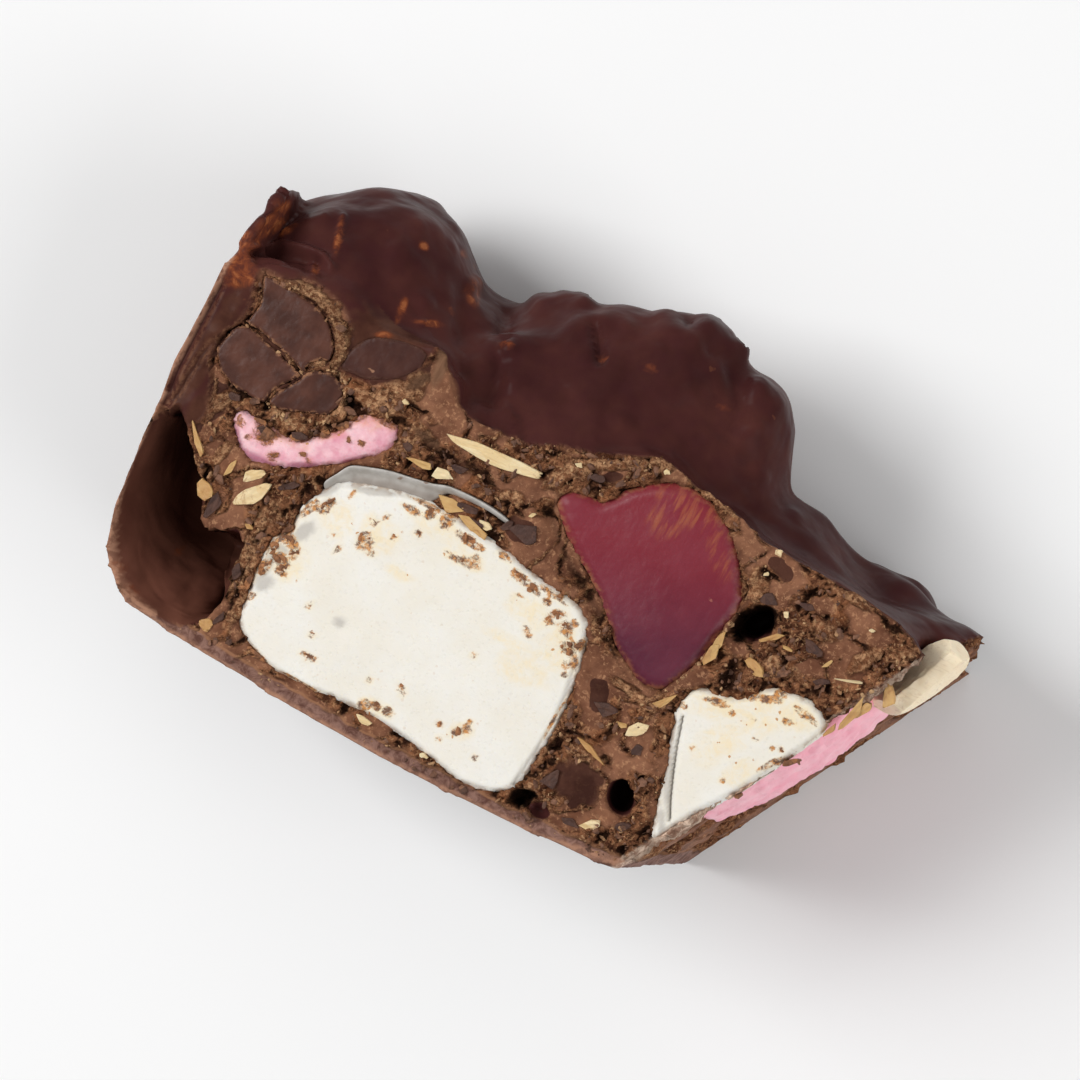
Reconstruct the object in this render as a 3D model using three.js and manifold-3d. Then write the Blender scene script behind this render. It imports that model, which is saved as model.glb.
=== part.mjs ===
// A hand-sized piece of rocky road: chocolate poured over marshmallows, jelly, nuts and chocolate buttons
// in a mould, then cut. It lies on one cut face with the other cut face up. Millimetres, +Z up.
// X runs along the flat side that lay on the mould's bottom, Y towards the lumpy side that was the top.
import * as THREE from 'three';
import { mergeVertices } from 'three/addons/utils/BufferGeometryUtils.js';
import { ImprovedNoise } from 'three/addons/math/ImprovedNoise.js';
import Module from 'manifold-3d';

const wasm = await Module();
wasm.setup();
const noise = new ImprovedNoise();

// Driving dimensions
const thickness = 28; // between the two cut faces
const fitGap = 0.3; // between the chocolate and each piece set in it
const pocketRise = 2; // how far a pocket's cutter stands clear of the face it opens
const baseFlare = 1.2; // the flat side leans out this much towards the underside
const endFlare = 4.0; // the cut end leans out this much towards the underside
const endBulge = 1.0; // how far the cut marshmallow springs out of the end
const edgeLean = 1.6; // the lumpy side's cut edge lies this much further in at the underside
const grainHeight = 0.4; // how far nuts and crumbs stand out of a cut face
const reach = 200; // a cutter's size, far past the piece
const pastEnd = 44; // where the block stops (X), past the end that is cut from it
const seed = 11;

// The side that lay in the mould, on the shown cut face: down its wall, round the corner, along its bottom
const mouldSide = [
  [-36.0, 3.5], [-36.0, 2.0], [-36.3, -3.0], [-36.0, -8.0], [-35.2, -12.0], [-33.7, -15.6], [-31.2, -17.9],
  [-28.2, -18.8], [-17.8, -19.4], [-5.4, -19.7], [8.0, -19.3], [22.0, -18.2],
];
const endLine = [[20.0, -17.9], [35.3, 11.3]]; // the oblique cut at the end

// The edge of the shown cut face along the lumpy side, left to right
const lumpyEdge = [
  [-36, 12.0], [-34.0, 13.8], [-32.0, 14.5], [-28.0, 14.6], [-23.0, 14.2], [-19.0, 14.6], [-15.4, 15.4],
  [-13.2, 13.2], [-10.6, 10.6], [-5.2, 10.5], [0.9, 12.9], [6.6, 16.2], [9.4, 15.4], [16.2, 13.9], [22.1, 13.5],
  [27.0, 13.8], [30.7, 13.6], [33.6, 12.8], [36.0, 10.9], [44.0, 9.0],
];

// Pieces that run in from the shown cut face. depth is how far in, foot the share of the width left there.
const fillings = {
  marshmallow_large: {
    outline: [
      [-18.2, 2.0], [-13.7, 3.8], [-8.5, 4.7], [-3.1, 4.0], [2.0, 1.9], [7.6, -0.5], [9.0, -6.5], [8.6, -14.0],
      [6.6, -17.7], [1.6, -17.3], [-8.0, -16.8], [-17.6, -16.4], [-20.6, -13.4], [-20.9, -7.2], [-19.4, -2.6],
    ],
    through: true,
    foot: 0.8,
    colour: 0xf0e8da,
  },
  jelly: {
    outline: [
      [-0.2, 8.6], [2.8, 10.0], [5.6, 12.2], [9.1, 14.0], [12.7, 13.9], [15.8, 12.2], [17.8, 9.2], [18.2, 5.0],
      [17.3, 0.8], [16.0, -2.3], [13.8, -2.1], [9.3, 0.8], [3.8, 4.2],
    ],
    through: true,
    foot: 0.62,
    lean: [0, -2.4],
    colour: 0x6e2336,
  },
  marshmallow_pink_strip: {
    outline: [
      [-28.7, 0.4], [-28.2, 1.9], [-25.9, 2.3], [-23.7, 1.9], [-21.4, 3.0], [-19.6, 5.3], [-16.8, 7.5],
      [-15.2, 6.9], [-16.3, 4.2], [-18.6, 1.7], [-21.8, -0.6], [-25.6, -1.5],
    ],
    through: true,
    foot: 0.75,
    lean: [-1, 1],
    colour: 0xe6a0ac,
  },
  marshmallow_small: {
    outline: [
      [21.7, -14.2], [20.2, -10.0], [18.2, -3.5], [18.8, -1.2], [21.4, 0.3], [24.8, 2.2], [27.8, 2.8],
      [29.7, 1.6], [28.2, -2.6], [25.0, -8.8],
    ],
    depth: 10,
    foot: 0.5,
    colour: 0xf0e8da,
  },
  chocolate_button_1: {
    outline: [
      [-32.2, 12.8], [-29.0, 13.4], [-25.6, 12.8], [-23.5, 10.7], [-24.9, 8.7], [-28.0, 8.9], [-31.6, 9.6],
    ],
    depth: 9,
    foot: 0.5,
    colour: 0x33201c,
  },
  chocolate_button_2: {
    outline: [[-31.6, 8.4], [-28.0, 7.9], [-26.2, 7.0], [-26.6, 5.2], [-28.6, 3.9], [-31.4, 4.5], [-32.6, 6.4]],
    depth: 9,
    foot: 0.5,
    colour: 0x33201c,
  },
  chocolate_button_3: {
    outline: [[-25.6, 5.4], [-24.8, 6.9], [-23.4, 7.8], [-21.6, 7.6], [-21.0, 6.5], [-22.8, 5.0], [-24.4, 4.6]],
    depth: 7,
    foot: 0.5,
    colour: 0x33201c,
  },
  chocolate_button_4: {
    outline: [
      [-22.0, 9.9], [-22.0, 12.0], [-19.4, 13.1], [-16.4, 13.9], [-15.6, 12.9], [-17.0, 10.9], [-19.8, 9.6],
    ],
    depth: 9,
    foot: 0.5,
    colour: 0x33201c,
  },
};

// A pink marshmallow cut through by the end face, lying along it
const endMarshmallow = { along: 18.6, radius: 9.6, rounding: 3.2, drop: 10.4, middle: [29.6, -3.3] };
// A nut that stands out of the end face
const endNut = { length: 10.6, width: 4.8, height: 7.4, middle: [35.3, 8.8], drop: 4.4 };

// Marshmallows and nuts under the poured chocolate of the lumpy side: middle, half sizes
const lumps = [
  { middle: [-25.0, 9.0, 13.6], half: [14.2, 15.6, 14.6] },
  { middle: [-33.4, 10.0, 13.2], half: [8.6, 8.4, 12.6] },
  { middle: [-25.8, 16.0, 9.4], half: [7.0, 8.2, 7.4] },
  { middle: [-13.2, 6.0, 12.4], half: [8.0, 13.4, 14.2] },
  { middle: [0.4, 7.6, 13.6], half: [17.4, 18.4, 14.4] },
  { middle: [-8.4, 12.6, 12.4], half: [7.0, 10.4, 9.4] },
  { middle: [3.8, 18.4, 15.4], half: [7.2, 9.7, 7.6] },
  { middle: [10.4, 15.6, 14.4], half: [6.0, 10.4, 8.8] },
  { middle: [-10.4, 14.0, 21.4], half: [2.6, 3.6, 2.8] },
  { middle: [-7.6, 8.4, 25.2], half: [2.8, 3.2, 2.6] },
  { middle: [18.4, 8.6, 12.0], half: [9.0, 8.2, 13.0] },
  { middle: [27.4, 8.4, 9.6], half: [9.8, 6.6, 11.8] },
  { middle: [36.0, 8.8, 15.6], half: [8.6, 5.2, 11.0] },
  { middle: [-17.4, 7.0, 6.0], half: [9.0, 11.4, 8.6] },
  { middle: [6.8, 12.0, 4.6], half: [9.6, 10.6, 6.4] },
];
const fullness = 0.68; // how square a lump's shoulders are: 0.5 is a ball, 1 a soft hill
const blend = 0.8; // how far one lump's skin runs into the next
const knobs = { count: 30, least: 1.8, most: 3.4, sink: 0.7 };
const waves = [{ size: 6.2, height: 1.0 }, { size: 2.8, height: 0.3 }];
// The lumpy side's grid: its spacing, and how far round a place the skin is evened out
const skin = { cell: 1.3, soften: 1 };
// The lumpy side starts inside the block (Y), and up to a second place it is as wide as the block
const skinFrom = { back: 3, straight: 6 };
const flareFrom = { start: 8, full: 18 }; // where the flat side's lean starts and is full (-Y)

// The hollow where the chocolate skin in the mould's corner stands clear of the filling
const hollow = {
  outline: [
    [-35.0, -0.6], [-34.3, -9.0], [-33.1, -13.6], [-30.8, -16.4], [-28.0, -17.5], [-23.6, -17.3],
    [-22.8, -15.4], [-25.4, -13.2], [-27.4, -10.0], [-28.6, -6.8], [-31.6, -3.4],
  ],
  depth: 15,
  foot: 0.35,
  lean: [2.6, 1.8],
};

// Air bubbles cut open by the knife: middle, half sizes, turn in degrees
const bubbles = [
  { middle: [20.9, 6.6], half: [1.8, 1.25, 2.6], turn: 55 },
  { middle: [17.4, -12.4], half: [1.2, 1.8, 3.2], turn: 35 },
  { middle: [11.6, -17.0], half: [1.3, 0.8, 1.6], turn: 10 },
  { middle: [0.6, 6.4], half: [2.2, 0.7, 2.4], turn: -38 },
  { middle: [-24.3, -9.2], half: [1.5, 0.9, 2.0], turn: 65 },
];

// Nut slivers on the shown cut face: middle, half length, half width, turn in degrees
const slivers = [
  { middle: [-7.0, 8.9], half: [4.9, 0.75], turn: 3 },
  { middle: [-12.4, 5.9], half: [1.5, 0.5], turn: 0 },
  { middle: [-9.6, 6.4], half: [1.5, 0.7], turn: -4 },
  { middle: [-24.2, -4.4], half: [2.5, 0.9], turn: 64 },
  { middle: [-28.8, -4.0], half: [1.8, 0.7], turn: -20 },
  { middle: [15.9, -6.4], half: [1.7, 0.75], turn: 56 },
  { middle: [16.4, -16.4], half: [1.3, 0.4], turn: 6 },
  { middle: [13.6, -10.4], half: [1.9, 0.4], turn: -20 },
  { middle: [22.6, 3.4], half: [1.1, 0.6], turn: 25 },
  { middle: [24.2, 6.4], half: [1.5, 0.6], turn: 48 },
  { middle: [32.4, 6.4], half: [2.6, 0.6], turn: 62 },
];
// Crumbs of biscuit and nut on the cut face and the end, and chips broken out of the cut face
const crumbs = { face: 62, end: 14, chips: 22, least: 0.4, most: 1.5, clear: 0.9, apart: 1.9 };

// A source of repeatable random numbers from 0 to 1.
function randomSource(start) {
  let state = start;
  return () => {
    state = (state * 1664525 + 1013904223) % 4294967296;
    return state / 4294967296;
  };
}
const random = randomSource(seed);
const between = (low, high) => low + (high - low) * random();
const endFrom = new THREE.Vector2(...endLine[0]);
const endTo = new THREE.Vector2(...endLine[1]);
const endAngle = endTo.clone().sub(endFrom).angle();

// A closed geometry as a solid: coincident corners merged, and triangles without area left out.
function solidOf(geometry) {
  const bare = new THREE.BufferGeometry().setAttribute('position', geometry.getAttribute('position'));
  if (geometry.index) bare.setIndex(geometry.index);
  const merged = mergeVertices(bare, 1e-4);
  const corners = Array.from(merged.index.array);
  const kept = [];
  for (let i = 0; i < corners.length; i += 3) {
    const [a, b, c] = corners.slice(i, i + 3);
    if (a !== b && b !== c && c !== a) kept.push(a, b, c);
  }
  return new wasm.Manifold(new wasm.Mesh({
    numProp: 3,
    vertProperties: merged.attributes.position.array,
    triVerts: new Uint32Array(kept),
  }));
}

// A solid back as a geometry, without the scraps that a cut leaves loose.
function geometryOf(solid) {
  const whole = solid.decompose().reduce((a, b) => (a.volume() > b.volume() ? a : b));
  const mesh = whole.getMesh();
  const geometry = new THREE.BufferGeometry();
  geometry.setAttribute('position', new THREE.BufferAttribute(mesh.vertProperties, 3));
  geometry.setIndex(new THREE.BufferAttribute(mesh.triVerts, 1));
  geometry.computeVertexNormals();
  return geometry;
}

// Moves each corner of a geometry by a rule of its place.
function reshape(geometry, rule) {
  const position = geometry.getAttribute('position');
  const point = new THREE.Vector3();
  for (let i = 0; i < position.count; i++) {
    point.fromBufferAttribute(position, i);
    rule(point);
    position.setXYZ(i, point.x, point.y, point.z);
  }
  return geometry;
}

// Even points round a smooth closed outline, moved out square to it by grow.
function smoothRing(outline, count, grow) {
  const knots = outline.map(([x, y]) => new THREE.Vector3(x, y, 0));
  const curve = new THREE.CatmullRomCurve3(knots, true, 'centripetal');
  const ring = curve.getSpacedPoints(count).slice(0, count);
  const side = Math.sign(THREE.ShapeUtils.area(ring)) * grow;
  const middle = ring.reduce((sum, p) => sum.add(p), new THREE.Vector3()).divideScalar(count);
  const points = ring.map((p, i) => {
    const along = curve.getTangentAt(i / count);
    return new THREE.Vector2(p.x + along.y * side, p.y - along.x * side);
  });
  return { points, middle };
}

// A filling or its pocket: the outline run in from the shown cut face, drawn in towards its foot.
function inset({ outline, depth = thickness, foot, through = false, lean = [0, 0] }, grow = 0) {
  const { points, middle } = smoothRing(outline, Math.round(outline.length * 2.6), grow);
  const steps = 4;
  const geometry = new THREE.ExtrudeGeometry(new THREE.Shape(points), { depth: 1, steps, bevelEnabled: false });
  const rise = grow > 0 ? pocketRise : 0;
  const below = through && grow > 0 ? pocketRise : grow;
  const out = new THREE.Vector2();
  return reshape(geometry, (p) => {
    const share = 1 - p.z; // 0 at the cut face, 1 at the foot
    const drawn = through ? share ** 2 : 1 - Math.sqrt(1 - share ** 2.5);
    const scale = 1 - (1 - foot) * drawn;
    out.set(p.x - middle.x, p.y - middle.y);
    out.setLength(out.length() * scale + grow * (1 - scale));
    p.x = middle.x + out.x + lean[0] * share;
    p.y = middle.y + out.y + lean[1] * share;
    p.z = thickness + rise - (depth + rise + below) * (through ? share : Math.sin((share * Math.PI) / 2));
  });
}

// The block inside the lumpy skin: the mould's side run down, and straight edges that others cover or cut.
function core() {
  const shape = new THREE.Shape();
  shape.moveTo(...mouldSide[0]);
  shape.lineTo(...mouldSide[1]);
  shape.splineThru(mouldSide.slice(2).map(([x, y]) => new THREE.Vector2(x, y)));
  shape.lineTo(pastEnd, mouldSide.at(-1)[1]);
  shape.lineTo(pastEnd, mouldSide[0][1]);
  const geometry = new THREE.ExtrudeGeometry(shape, {
    depth: thickness,
    steps: 2,
    curveSegments: 4,
    bevelEnabled: false,
  });
  return reshape(geometry, (p) => {
    const down = 1 - p.z / thickness;
    p.y -= baseFlare * down * THREE.MathUtils.smoothstep(-p.y, flareFrom.start, flareFrom.full);
  });
}

// Nuts just under the chocolate, as smaller lumps on the lumps.
function smallLumps() {
  return Array.from({ length: knobs.count }, () => {
    const host = lumps[Math.floor(between(0, lumps.length))];
    const [across, up] = [between(-0.8, 0.8), between(-0.75, 0.75)];
    const out = [across, Math.sqrt(Math.max(0.05, 1 - across ** 2 - up ** 2)), up];
    const radius = between(knobs.least, knobs.most);
    return {
      middle: host.middle.map((centre, i) => centre + out[i] * (host.half[i] - radius * knobs.sink)),
      half: [radius * between(0.8, 1.4), radius, radius * between(0.8, 1.4)],
    };
  });
}

// Where the cut edge of the lumpy side lies (Y) at a place along it.
function edgeAt(x) {
  const next = Math.max(1, lumpyEdge.findIndex((knot) => knot[0] > x));
  const [from, to] = [lumpyEdge[next - 1], lumpyEdge[next]];
  return THREE.MathUtils.mapLinear(x, from[0], to[0], from[1], to[1]);
}

// How far the poured chocolate reaches out (Y) at a place on the lumpy side.
function skinReach(x, z, everyLump) {
  let sum = Math.exp((edgeAt(x) - edgeLean * (1 - z / thickness)) / blend);
  for (const { middle, half } of everyLump) {
    const off = Math.hypot((x - middle[0]) / half[0], (z - middle[2]) / half[2]);
    if (off < 1) sum += Math.exp((middle[1] + half[1] * (1 - off ** 2) ** fullness) / blend);
  }
  const smooth = blend * Math.log(sum);
  return waves.reduce(
    (y, { size, height }, i) => y + height * noise.noise(x / size, z / size, smooth / size + i * 9),
    smooth,
  );
}

// The reach evened out over a small cross round the place, as thick chocolate settles.
function settledReach(x, z, everyLump) {
  const by = skin.soften;
  const around = [[0, 0], [by, 0], [-by, 0], [0, by], [0, -by]];
  return around.reduce((sum, [dx, dz]) => sum + skinReach(x + dx, z + dz, everyLump), 0) / around.length;
}

// The lumpy side: a block from inside the core out to the poured skin, square to the cut faces.
function lumpySide() {
  const left = mouldSide[0][0];
  const length = pastEnd - left;
  const [columns, rows] = [length, thickness].map((size) => Math.round(size / skin.cell));
  const geometry = new THREE.BoxGeometry(length, 2, thickness, columns, 2, rows);
  geometry.translate(left + length / 2, 0, thickness / 2);
  const everyLump = [...lumps, ...smallLumps()];
  return reshape(geometry, (p) => {
    p.y = [skinFrom.back, skinFrom.straight, settledReach(p.x, p.z, everyLump)][Math.round(p.y) + 1];
  });
}

// Everything on the kept side of the cut end, which leans out towards the underside.
function endLimit() {
  const limit = new THREE.BoxGeometry(reach, reach, reach).translate(0, reach / 2, 0);
  limit.rotateX(-Math.atan2(endFlare * Math.sin(endAngle), thickness));
  limit.rotateZ(endAngle);
  return limit.translate(endTo.x, endTo.y, thickness);
}

// The pink marshmallow in the end: a barrel with rounded rims, its axis along the end face.
function endBarrel(grow) {
  const { along, radius, rounding, drop, middle } = endMarshmallow;
  const [half, r] = [along / 2 + grow, radius + grow];
  const rim = [0, 30, 60, 90].map((angle) => THREE.MathUtils.degToRad(angle));
  const corner = (sign, angle) => new THREE.Vector2(
    r - rounding + rounding * Math.cos(angle),
    sign * (half - rounding + rounding * Math.sin(angle)),
  );
  const profile = [
    new THREE.Vector2(0, -half),
    ...rim.map((angle) => corner(-1, angle)).reverse(),
    ...rim.map((angle) => corner(1, angle)),
    new THREE.Vector2(0, half),
  ];
  const barrel = new THREE.LatheGeometry(profile, 26);
  barrel.rotateZ(endAngle - Math.PI / 2);
  return barrel.translate(middle[0], middle[1], thickness - drop);
}

// The ball whose near side is the cut face of the marshmallow in the end, sprung out by endBulge.
function endBall() {
  const { along, drop, middle } = endMarshmallow;
  const radius = (along ** 2 / 4 + endBulge ** 2) / (2 * endBulge);
  const ball = new THREE.SphereGeometry(radius, 48, 24);
  const lean = Math.atan2(endFlare * Math.sin(endAngle), thickness);
  const out = new THREE.Vector3(Math.sin(endAngle), -Math.cos(endAngle), Math.tan(lean)).normalize();
  const face = new THREE.Vector3(endTo.x, endTo.y, thickness);
  const centre = new THREE.Vector3(middle[0], middle[1], thickness - drop);
  centre.addScaledVector(out, face.sub(centre).dot(out) + endBulge - radius);
  return ball.rotateZ(endAngle).translate(centre.x, centre.y, centre.z);
}

// The nut in the end: flat and pointed like an almond, longest along the end face.
function endKernel(grow) {
  const { length, width, height, middle, drop } = endNut;
  const steps = 9;
  const profile = Array.from({ length: steps + 1 }, (_, i) => {
    const angle = (i / steps) * Math.PI;
    const girth = Math.sin(angle) * (1 - 0.22 * Math.cos(angle) - 0.1 * Math.sin(angle) ** 4);
    return new THREE.Vector2(Math.max(0, girth), -Math.cos(angle));
  });
  const kernel = new THREE.LatheGeometry(profile, 18);
  kernel.scale(width / 2 + grow, length / 2 + grow, height / 2 + grow);
  kernel.rotateZ(endAngle - Math.PI / 2);
  return kernel.translate(middle[0], middle[1], thickness - drop);
}

// An air bubble opened by the knife.
function bubble({ middle, half, turn }) {
  const geometry = new THREE.IcosahedronGeometry(1, 1);
  geometry.scale(...half);
  geometry.rotateZ(THREE.MathUtils.degToRad(turn));
  return geometry.translate(middle[0], middle[1], thickness - half[2] * 0.2);
}

// Whether a place on the cut face lies inside a ring of points.
function isInside([x, y], ring) {
  let inside = false;
  ring.forEach((a, i) => {
    const b = ring[(i + 1) % ring.length];
    if (a.y > y !== b.y > y && x < a.x + ((y - a.y) / (b.y - a.y)) * (b.x - a.x)) inside = !inside;
  });
  return inside;
}

// Random places on the shown cut face, apart from each other, its rim, the fillings, slivers and hollow.
function freePlaces(count) {
  const { clear, apart } = crumbs;
  const taken = [...Object.values(fillings), hollow].map((f) => smoothRing(f.outline, 40, clear).points);
  const rim = [...mouldSide.slice(0, -1), ...endLine, ...lumpyEdge.slice(0, -2).reverse()];
  const edge = rim.map(([x, y]) => new THREE.Vector2(x, y).multiplyScalar(1 - clear / 18));
  const single = [...slivers, ...bubbles].map(({ middle, half }) => (
    { at: middle, room: Math.max(...half) + clear }
  ));
  while (single.length < count + slivers.length + bubbles.length) {
    const at = [between(-35, 36), between(-20, 16)];
    const isFree = single.every((other) => Math.hypot(other.at[0] - at[0], other.at[1] - at[1]) > other.room);
    if (!isFree || !isInside(at, edge) || taken.some((ring) => isInside(at, ring))) continue;
    single.push({ at, room: apart });
  }
  return single.slice(-count).map(({ at }) => at);
}

// A small flat grain with random facets, before it is set in its place.
function grain(half, height, turn) {
  const geometry = new THREE.IcosahedronGeometry(1, 0);
  geometry.rotateX(between(0, Math.PI));
  geometry.scale(half[0], half[1], height);
  return geometry.rotateZ(THREE.MathUtils.degToRad(turn));
}

// The nut slivers and crumbs that show, each half sunk in the cut face or the end.
function grains(places) {
  const shown = slivers.map(({ middle, half, turn }) => (
    grain(half, grainHeight, turn).translate(middle[0], middle[1], thickness)
  ));
  const half = () => [crumbs.least + (crumbs.most - crumbs.least) * random() ** 2, between(0.3, 0.6)];
  for (const [x, y] of places) {
    shown.push(grain(half(), grainHeight, between(0, 180)).translate(x, y, thickness));
  }
  for (let i = 0; i < crumbs.end; i++) {
    const [along, height] = [(i + 0.6) / crumbs.end, between(3, thickness - 3)];
    const crumb = grain(half(), grainHeight, between(0, 180)).rotateX(Math.PI / 2).rotateZ(endAngle);
    const x = THREE.MathUtils.lerp(endFrom.x, endTo.x, along) + endFlare * (1 - height / thickness);
    shown.push(crumb.translate(x, THREE.MathUtils.lerp(endFrom.y, endTo.y, along), height));
  }
  return shown;
}

// Chips that the knife broke out of the shown cut face.
function chips(places) {
  return places.map(([x, y]) => {
    const half = [between(0.5, 1.2), between(0.3, 0.7)];
    return grain(half, between(0.4, 0.8), between(0, 180)).translate(x, y, thickness);
  });
}

// The layer between two heights, wider than the piece.
function layer(low, high) {
  return solidOf(new THREE.BoxGeometry(reach, reach, high - low).translate(0, 0, (low + high) / 2));
}

const join = (solids) => solids.reduce((a, b) => a.add(b));
const betweenFaces = layer(0, thickness);
const endSide = solidOf(endLimit());
const uncut = solidOf(core()).add(solidOf(lumpySide()));
const block = uncut.intersect(endSide);
const barrelRoom = solidOf(endBarrel(fitGap));
const kernelRoom = solidOf(endKernel(fitGap));
const solids = Object.fromEntries(Object.entries(fillings).map(([name, f]) => [name, solidOf(inset(f))]));
solids.marshmallow_small = solids.marshmallow_small.subtract(barrelRoom);
solids.marshmallow_pink_end = solidOf(endBarrel(0)).intersect(solidOf(endBall())).intersect(uncut);
solids.marshmallow_pink_end = solids.marshmallow_pink_end.subtract(kernelRoom);
solids.nut = solidOf(endKernel(0)).intersect(betweenFaces);

const places = freePlaces(crumbs.face + crumbs.chips);
const pockets = [
  ...Object.values(fillings).map((f) => solidOf(inset(f, fitGap))),
  barrelRoom,
  kernelRoom,
  solidOf(inset(hollow, 0.01)),
  ...bubbles.map((b) => solidOf(bubble(b))),
  ...chips(places.slice(crumbs.face)).map(solidOf),
];
solids.chocolate = join([block, ...grains(places.slice(0, crumbs.face)).map(solidOf)])
  .intersect(layer(0, thickness + grainHeight))
  .subtract(join(pockets));

const colours = { chocolate: 0x3d2620, marshmallow_pink_end: 0xe6a0ac, nut: 0xe2c89a };
const piece = new THREE.Group();
for (const [name, solid] of Object.entries(solids)) {
  const color = colours[name] ?? fillings[name].colour;
  const mesh = new THREE.Mesh(
    geometryOf(solid),
    new THREE.MeshStandardMaterial({ color, roughness: 0.6, metalness: 0 }),
  );
  mesh.name = name;
  piece.add(mesh);
}

// The origin is under the middle of the piece, on what it lies on.
const box = new THREE.Box3().setFromObject(piece);
const middle = box.getCenter(new THREE.Vector3());
piece.position.set(-middle.x, -middle.y, -box.min.z);

export default piece;
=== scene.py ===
import math
import random

import bmesh
import bpy
from mathutils import Euler, Matrix, Vector, noise
from mathutils.bvhtree import BVHTree
from mathutils.geometry import interpolate_bezier
from mathutils.kdtree import KDTree


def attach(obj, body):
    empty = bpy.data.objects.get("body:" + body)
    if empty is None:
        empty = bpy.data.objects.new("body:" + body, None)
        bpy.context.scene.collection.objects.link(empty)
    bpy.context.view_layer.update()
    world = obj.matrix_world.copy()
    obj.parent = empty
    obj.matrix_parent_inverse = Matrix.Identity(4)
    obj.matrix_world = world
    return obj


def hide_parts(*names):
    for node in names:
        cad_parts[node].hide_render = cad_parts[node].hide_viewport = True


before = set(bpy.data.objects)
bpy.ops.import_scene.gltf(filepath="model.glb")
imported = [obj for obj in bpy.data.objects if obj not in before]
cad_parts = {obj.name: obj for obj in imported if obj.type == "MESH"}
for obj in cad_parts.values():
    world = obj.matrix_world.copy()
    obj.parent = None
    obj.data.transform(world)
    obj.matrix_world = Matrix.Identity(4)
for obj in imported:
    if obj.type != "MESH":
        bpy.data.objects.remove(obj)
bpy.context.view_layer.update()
scene = bpy.context.scene

# Everything is modelled in millimetres on a plan of the shown cut face: x along the flat side that lay
# on the mould's bottom, y towards the lumpy side, z up from the table. Pieces are put in metres at the end.
plan = {
    "shift": Vector((-1.2199, -3.579, 0)),  # from the plan to the CAD frame
    "face": 28.0,  # height of the shown cut face
    "nearFace": 27.3,  # from this height up a place counts as near it
    "traced": 20,  # from this height up, what is traced on the face counts
    "onFace": (27.35, 27.7),  # between these the cut begins, at the face, the underside and the end
    "onFoot": (-0.6, -0.3),
    "onEnd": (-0.5, -0.15),
    "least": 0.02,  # nothing reaches lower
    "endFrom": Vector((20.0, -17.9, 28.0)),  # the oblique cut at the end, on the shown face
    "endTo": Vector((35.3, 11.3, 28.0)),
    "endFlare": 4.0,  # how far the end leans out at the underside
}
camera = {  # lengths in millimetres, angles in degrees; width is what the picture shows across its middle
    "aim": Vector((0.433, 4.303, 28)), "distance": 510, "tilt": 10, "turn": 18, "roll": 28, "width": 95.2,
}


def say(stage):
    print("rocky road:", stage)


# Directions of the picture on the plan: right, up, and towards the camera
roll, tilt, turn = (math.radians(camera[key]) for key in ("roll", "tilt", "turn"))
pictureRight = Vector((math.cos(roll), math.sin(roll), 0))
pictureUp = Vector((-math.sin(roll), math.cos(roll), 0))
leaning = pictureRight * math.cos(turn) + pictureUp * math.sin(turn)
towardsCamera = leaning * math.sin(tilt) + Vector((0, 0, math.cos(tilt)))
cameraSpot = camera["aim"] + towardsCamera * camera["distance"]

endAlong = (plan["endTo"] - plan["endFrom"]).normalized()
endLean = math.atan2(plan["endFlare"] * endAlong.y, plan["face"])
endOut = Vector((endAlong.y, -endAlong.x, math.tan(endLean))).normalized()


def seenAt(point):  # where the camera sees a point, on the plane of the cut face
    share = (cameraSpot.z - plan["face"]) / (cameraSpot.z - point.z)
    return cameraSpot + (point - cameraSpot) * share


def ramp(value, low, high):  # 0 at low, 1 at high, smooth between them
    share = min(1, max(0, (value - low) / (high - low)))
    return share * share * (3 - 2 * share)


def tone(red, green, blue):  # a colour as a screen shows it, 0 to 255
    shares = [value / 255 for value in (red, green, blue)]
    linear = [share / 12.92 if share <= 0.04045 else ((share + 0.055) / 1.055) ** 2.4 for share in shares]
    return *linear, 1


def evenGrey(value):  # a number that nodes mix as a colour
    return value, value, value, 1


# Shader nodes

def plug(tree, value, socket):
    if isinstance(value, bpy.types.NodeSocket):
        tree.links.new(value, socket)
    else:
        socket.default_value = value


def mixed(tree, share, first, second):
    node = tree.nodes.new("ShaderNodeMix")
    node.data_type = "RGBA"
    for value, place in ((share, 0), (first, 6), (second, 7)):
        plug(tree, value, node.inputs[place])
    return node.outputs[2]


def coated(tree, colour, *coats):  # a colour under coats, each given as how much of it shows and its colour
    for share, coat in coats:
        colour = mixed(tree, share, colour, coat)
    return colour


def calc(tree, operation, first, second, kind="ShaderNodeMath"):
    node = tree.nodes.new(kind)
    node.operation = operation
    plug(tree, first, node.inputs[0])
    plug(tree, second, node.inputs[1])
    return node.outputs[0]


def times(tree, first, second):
    return calc(tree, "MULTIPLY", first, second)


def plus(tree, first, second):
    return calc(tree, "ADD", first, second)


def spread(tree, value, low, high, toLow=0.0, toHigh=1.0):
    node = tree.nodes.new("ShaderNodeMapRange")
    node.interpolation_type = "SMOOTHSTEP"
    for item, place in ((value, 0), (low, 1), (high, 2), (toLow, 3), (toHigh, 4)):
        plug(tree, item, node.inputs[place])
    return node.outputs[0]


def noiseAt(tree, vector, scale, detail=3.0, roughness=0.5, distortion=0.0):
    node = tree.nodes.new("ShaderNodeTexNoise")
    names = ("Vector", "Scale", "Detail", "Roughness", "Distortion")
    for name, value in zip(names, (vector, scale, detail, roughness, distortion)):
        plug(tree, value, node.inputs[name])
    return node.outputs[0]


def cellsAt(tree, vector, scale):
    node = tree.nodes.new("ShaderNodeTexVoronoi")
    plug(tree, vector, node.inputs["Vector"])
    plug(tree, scale, node.inputs["Scale"])
    return node


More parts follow.
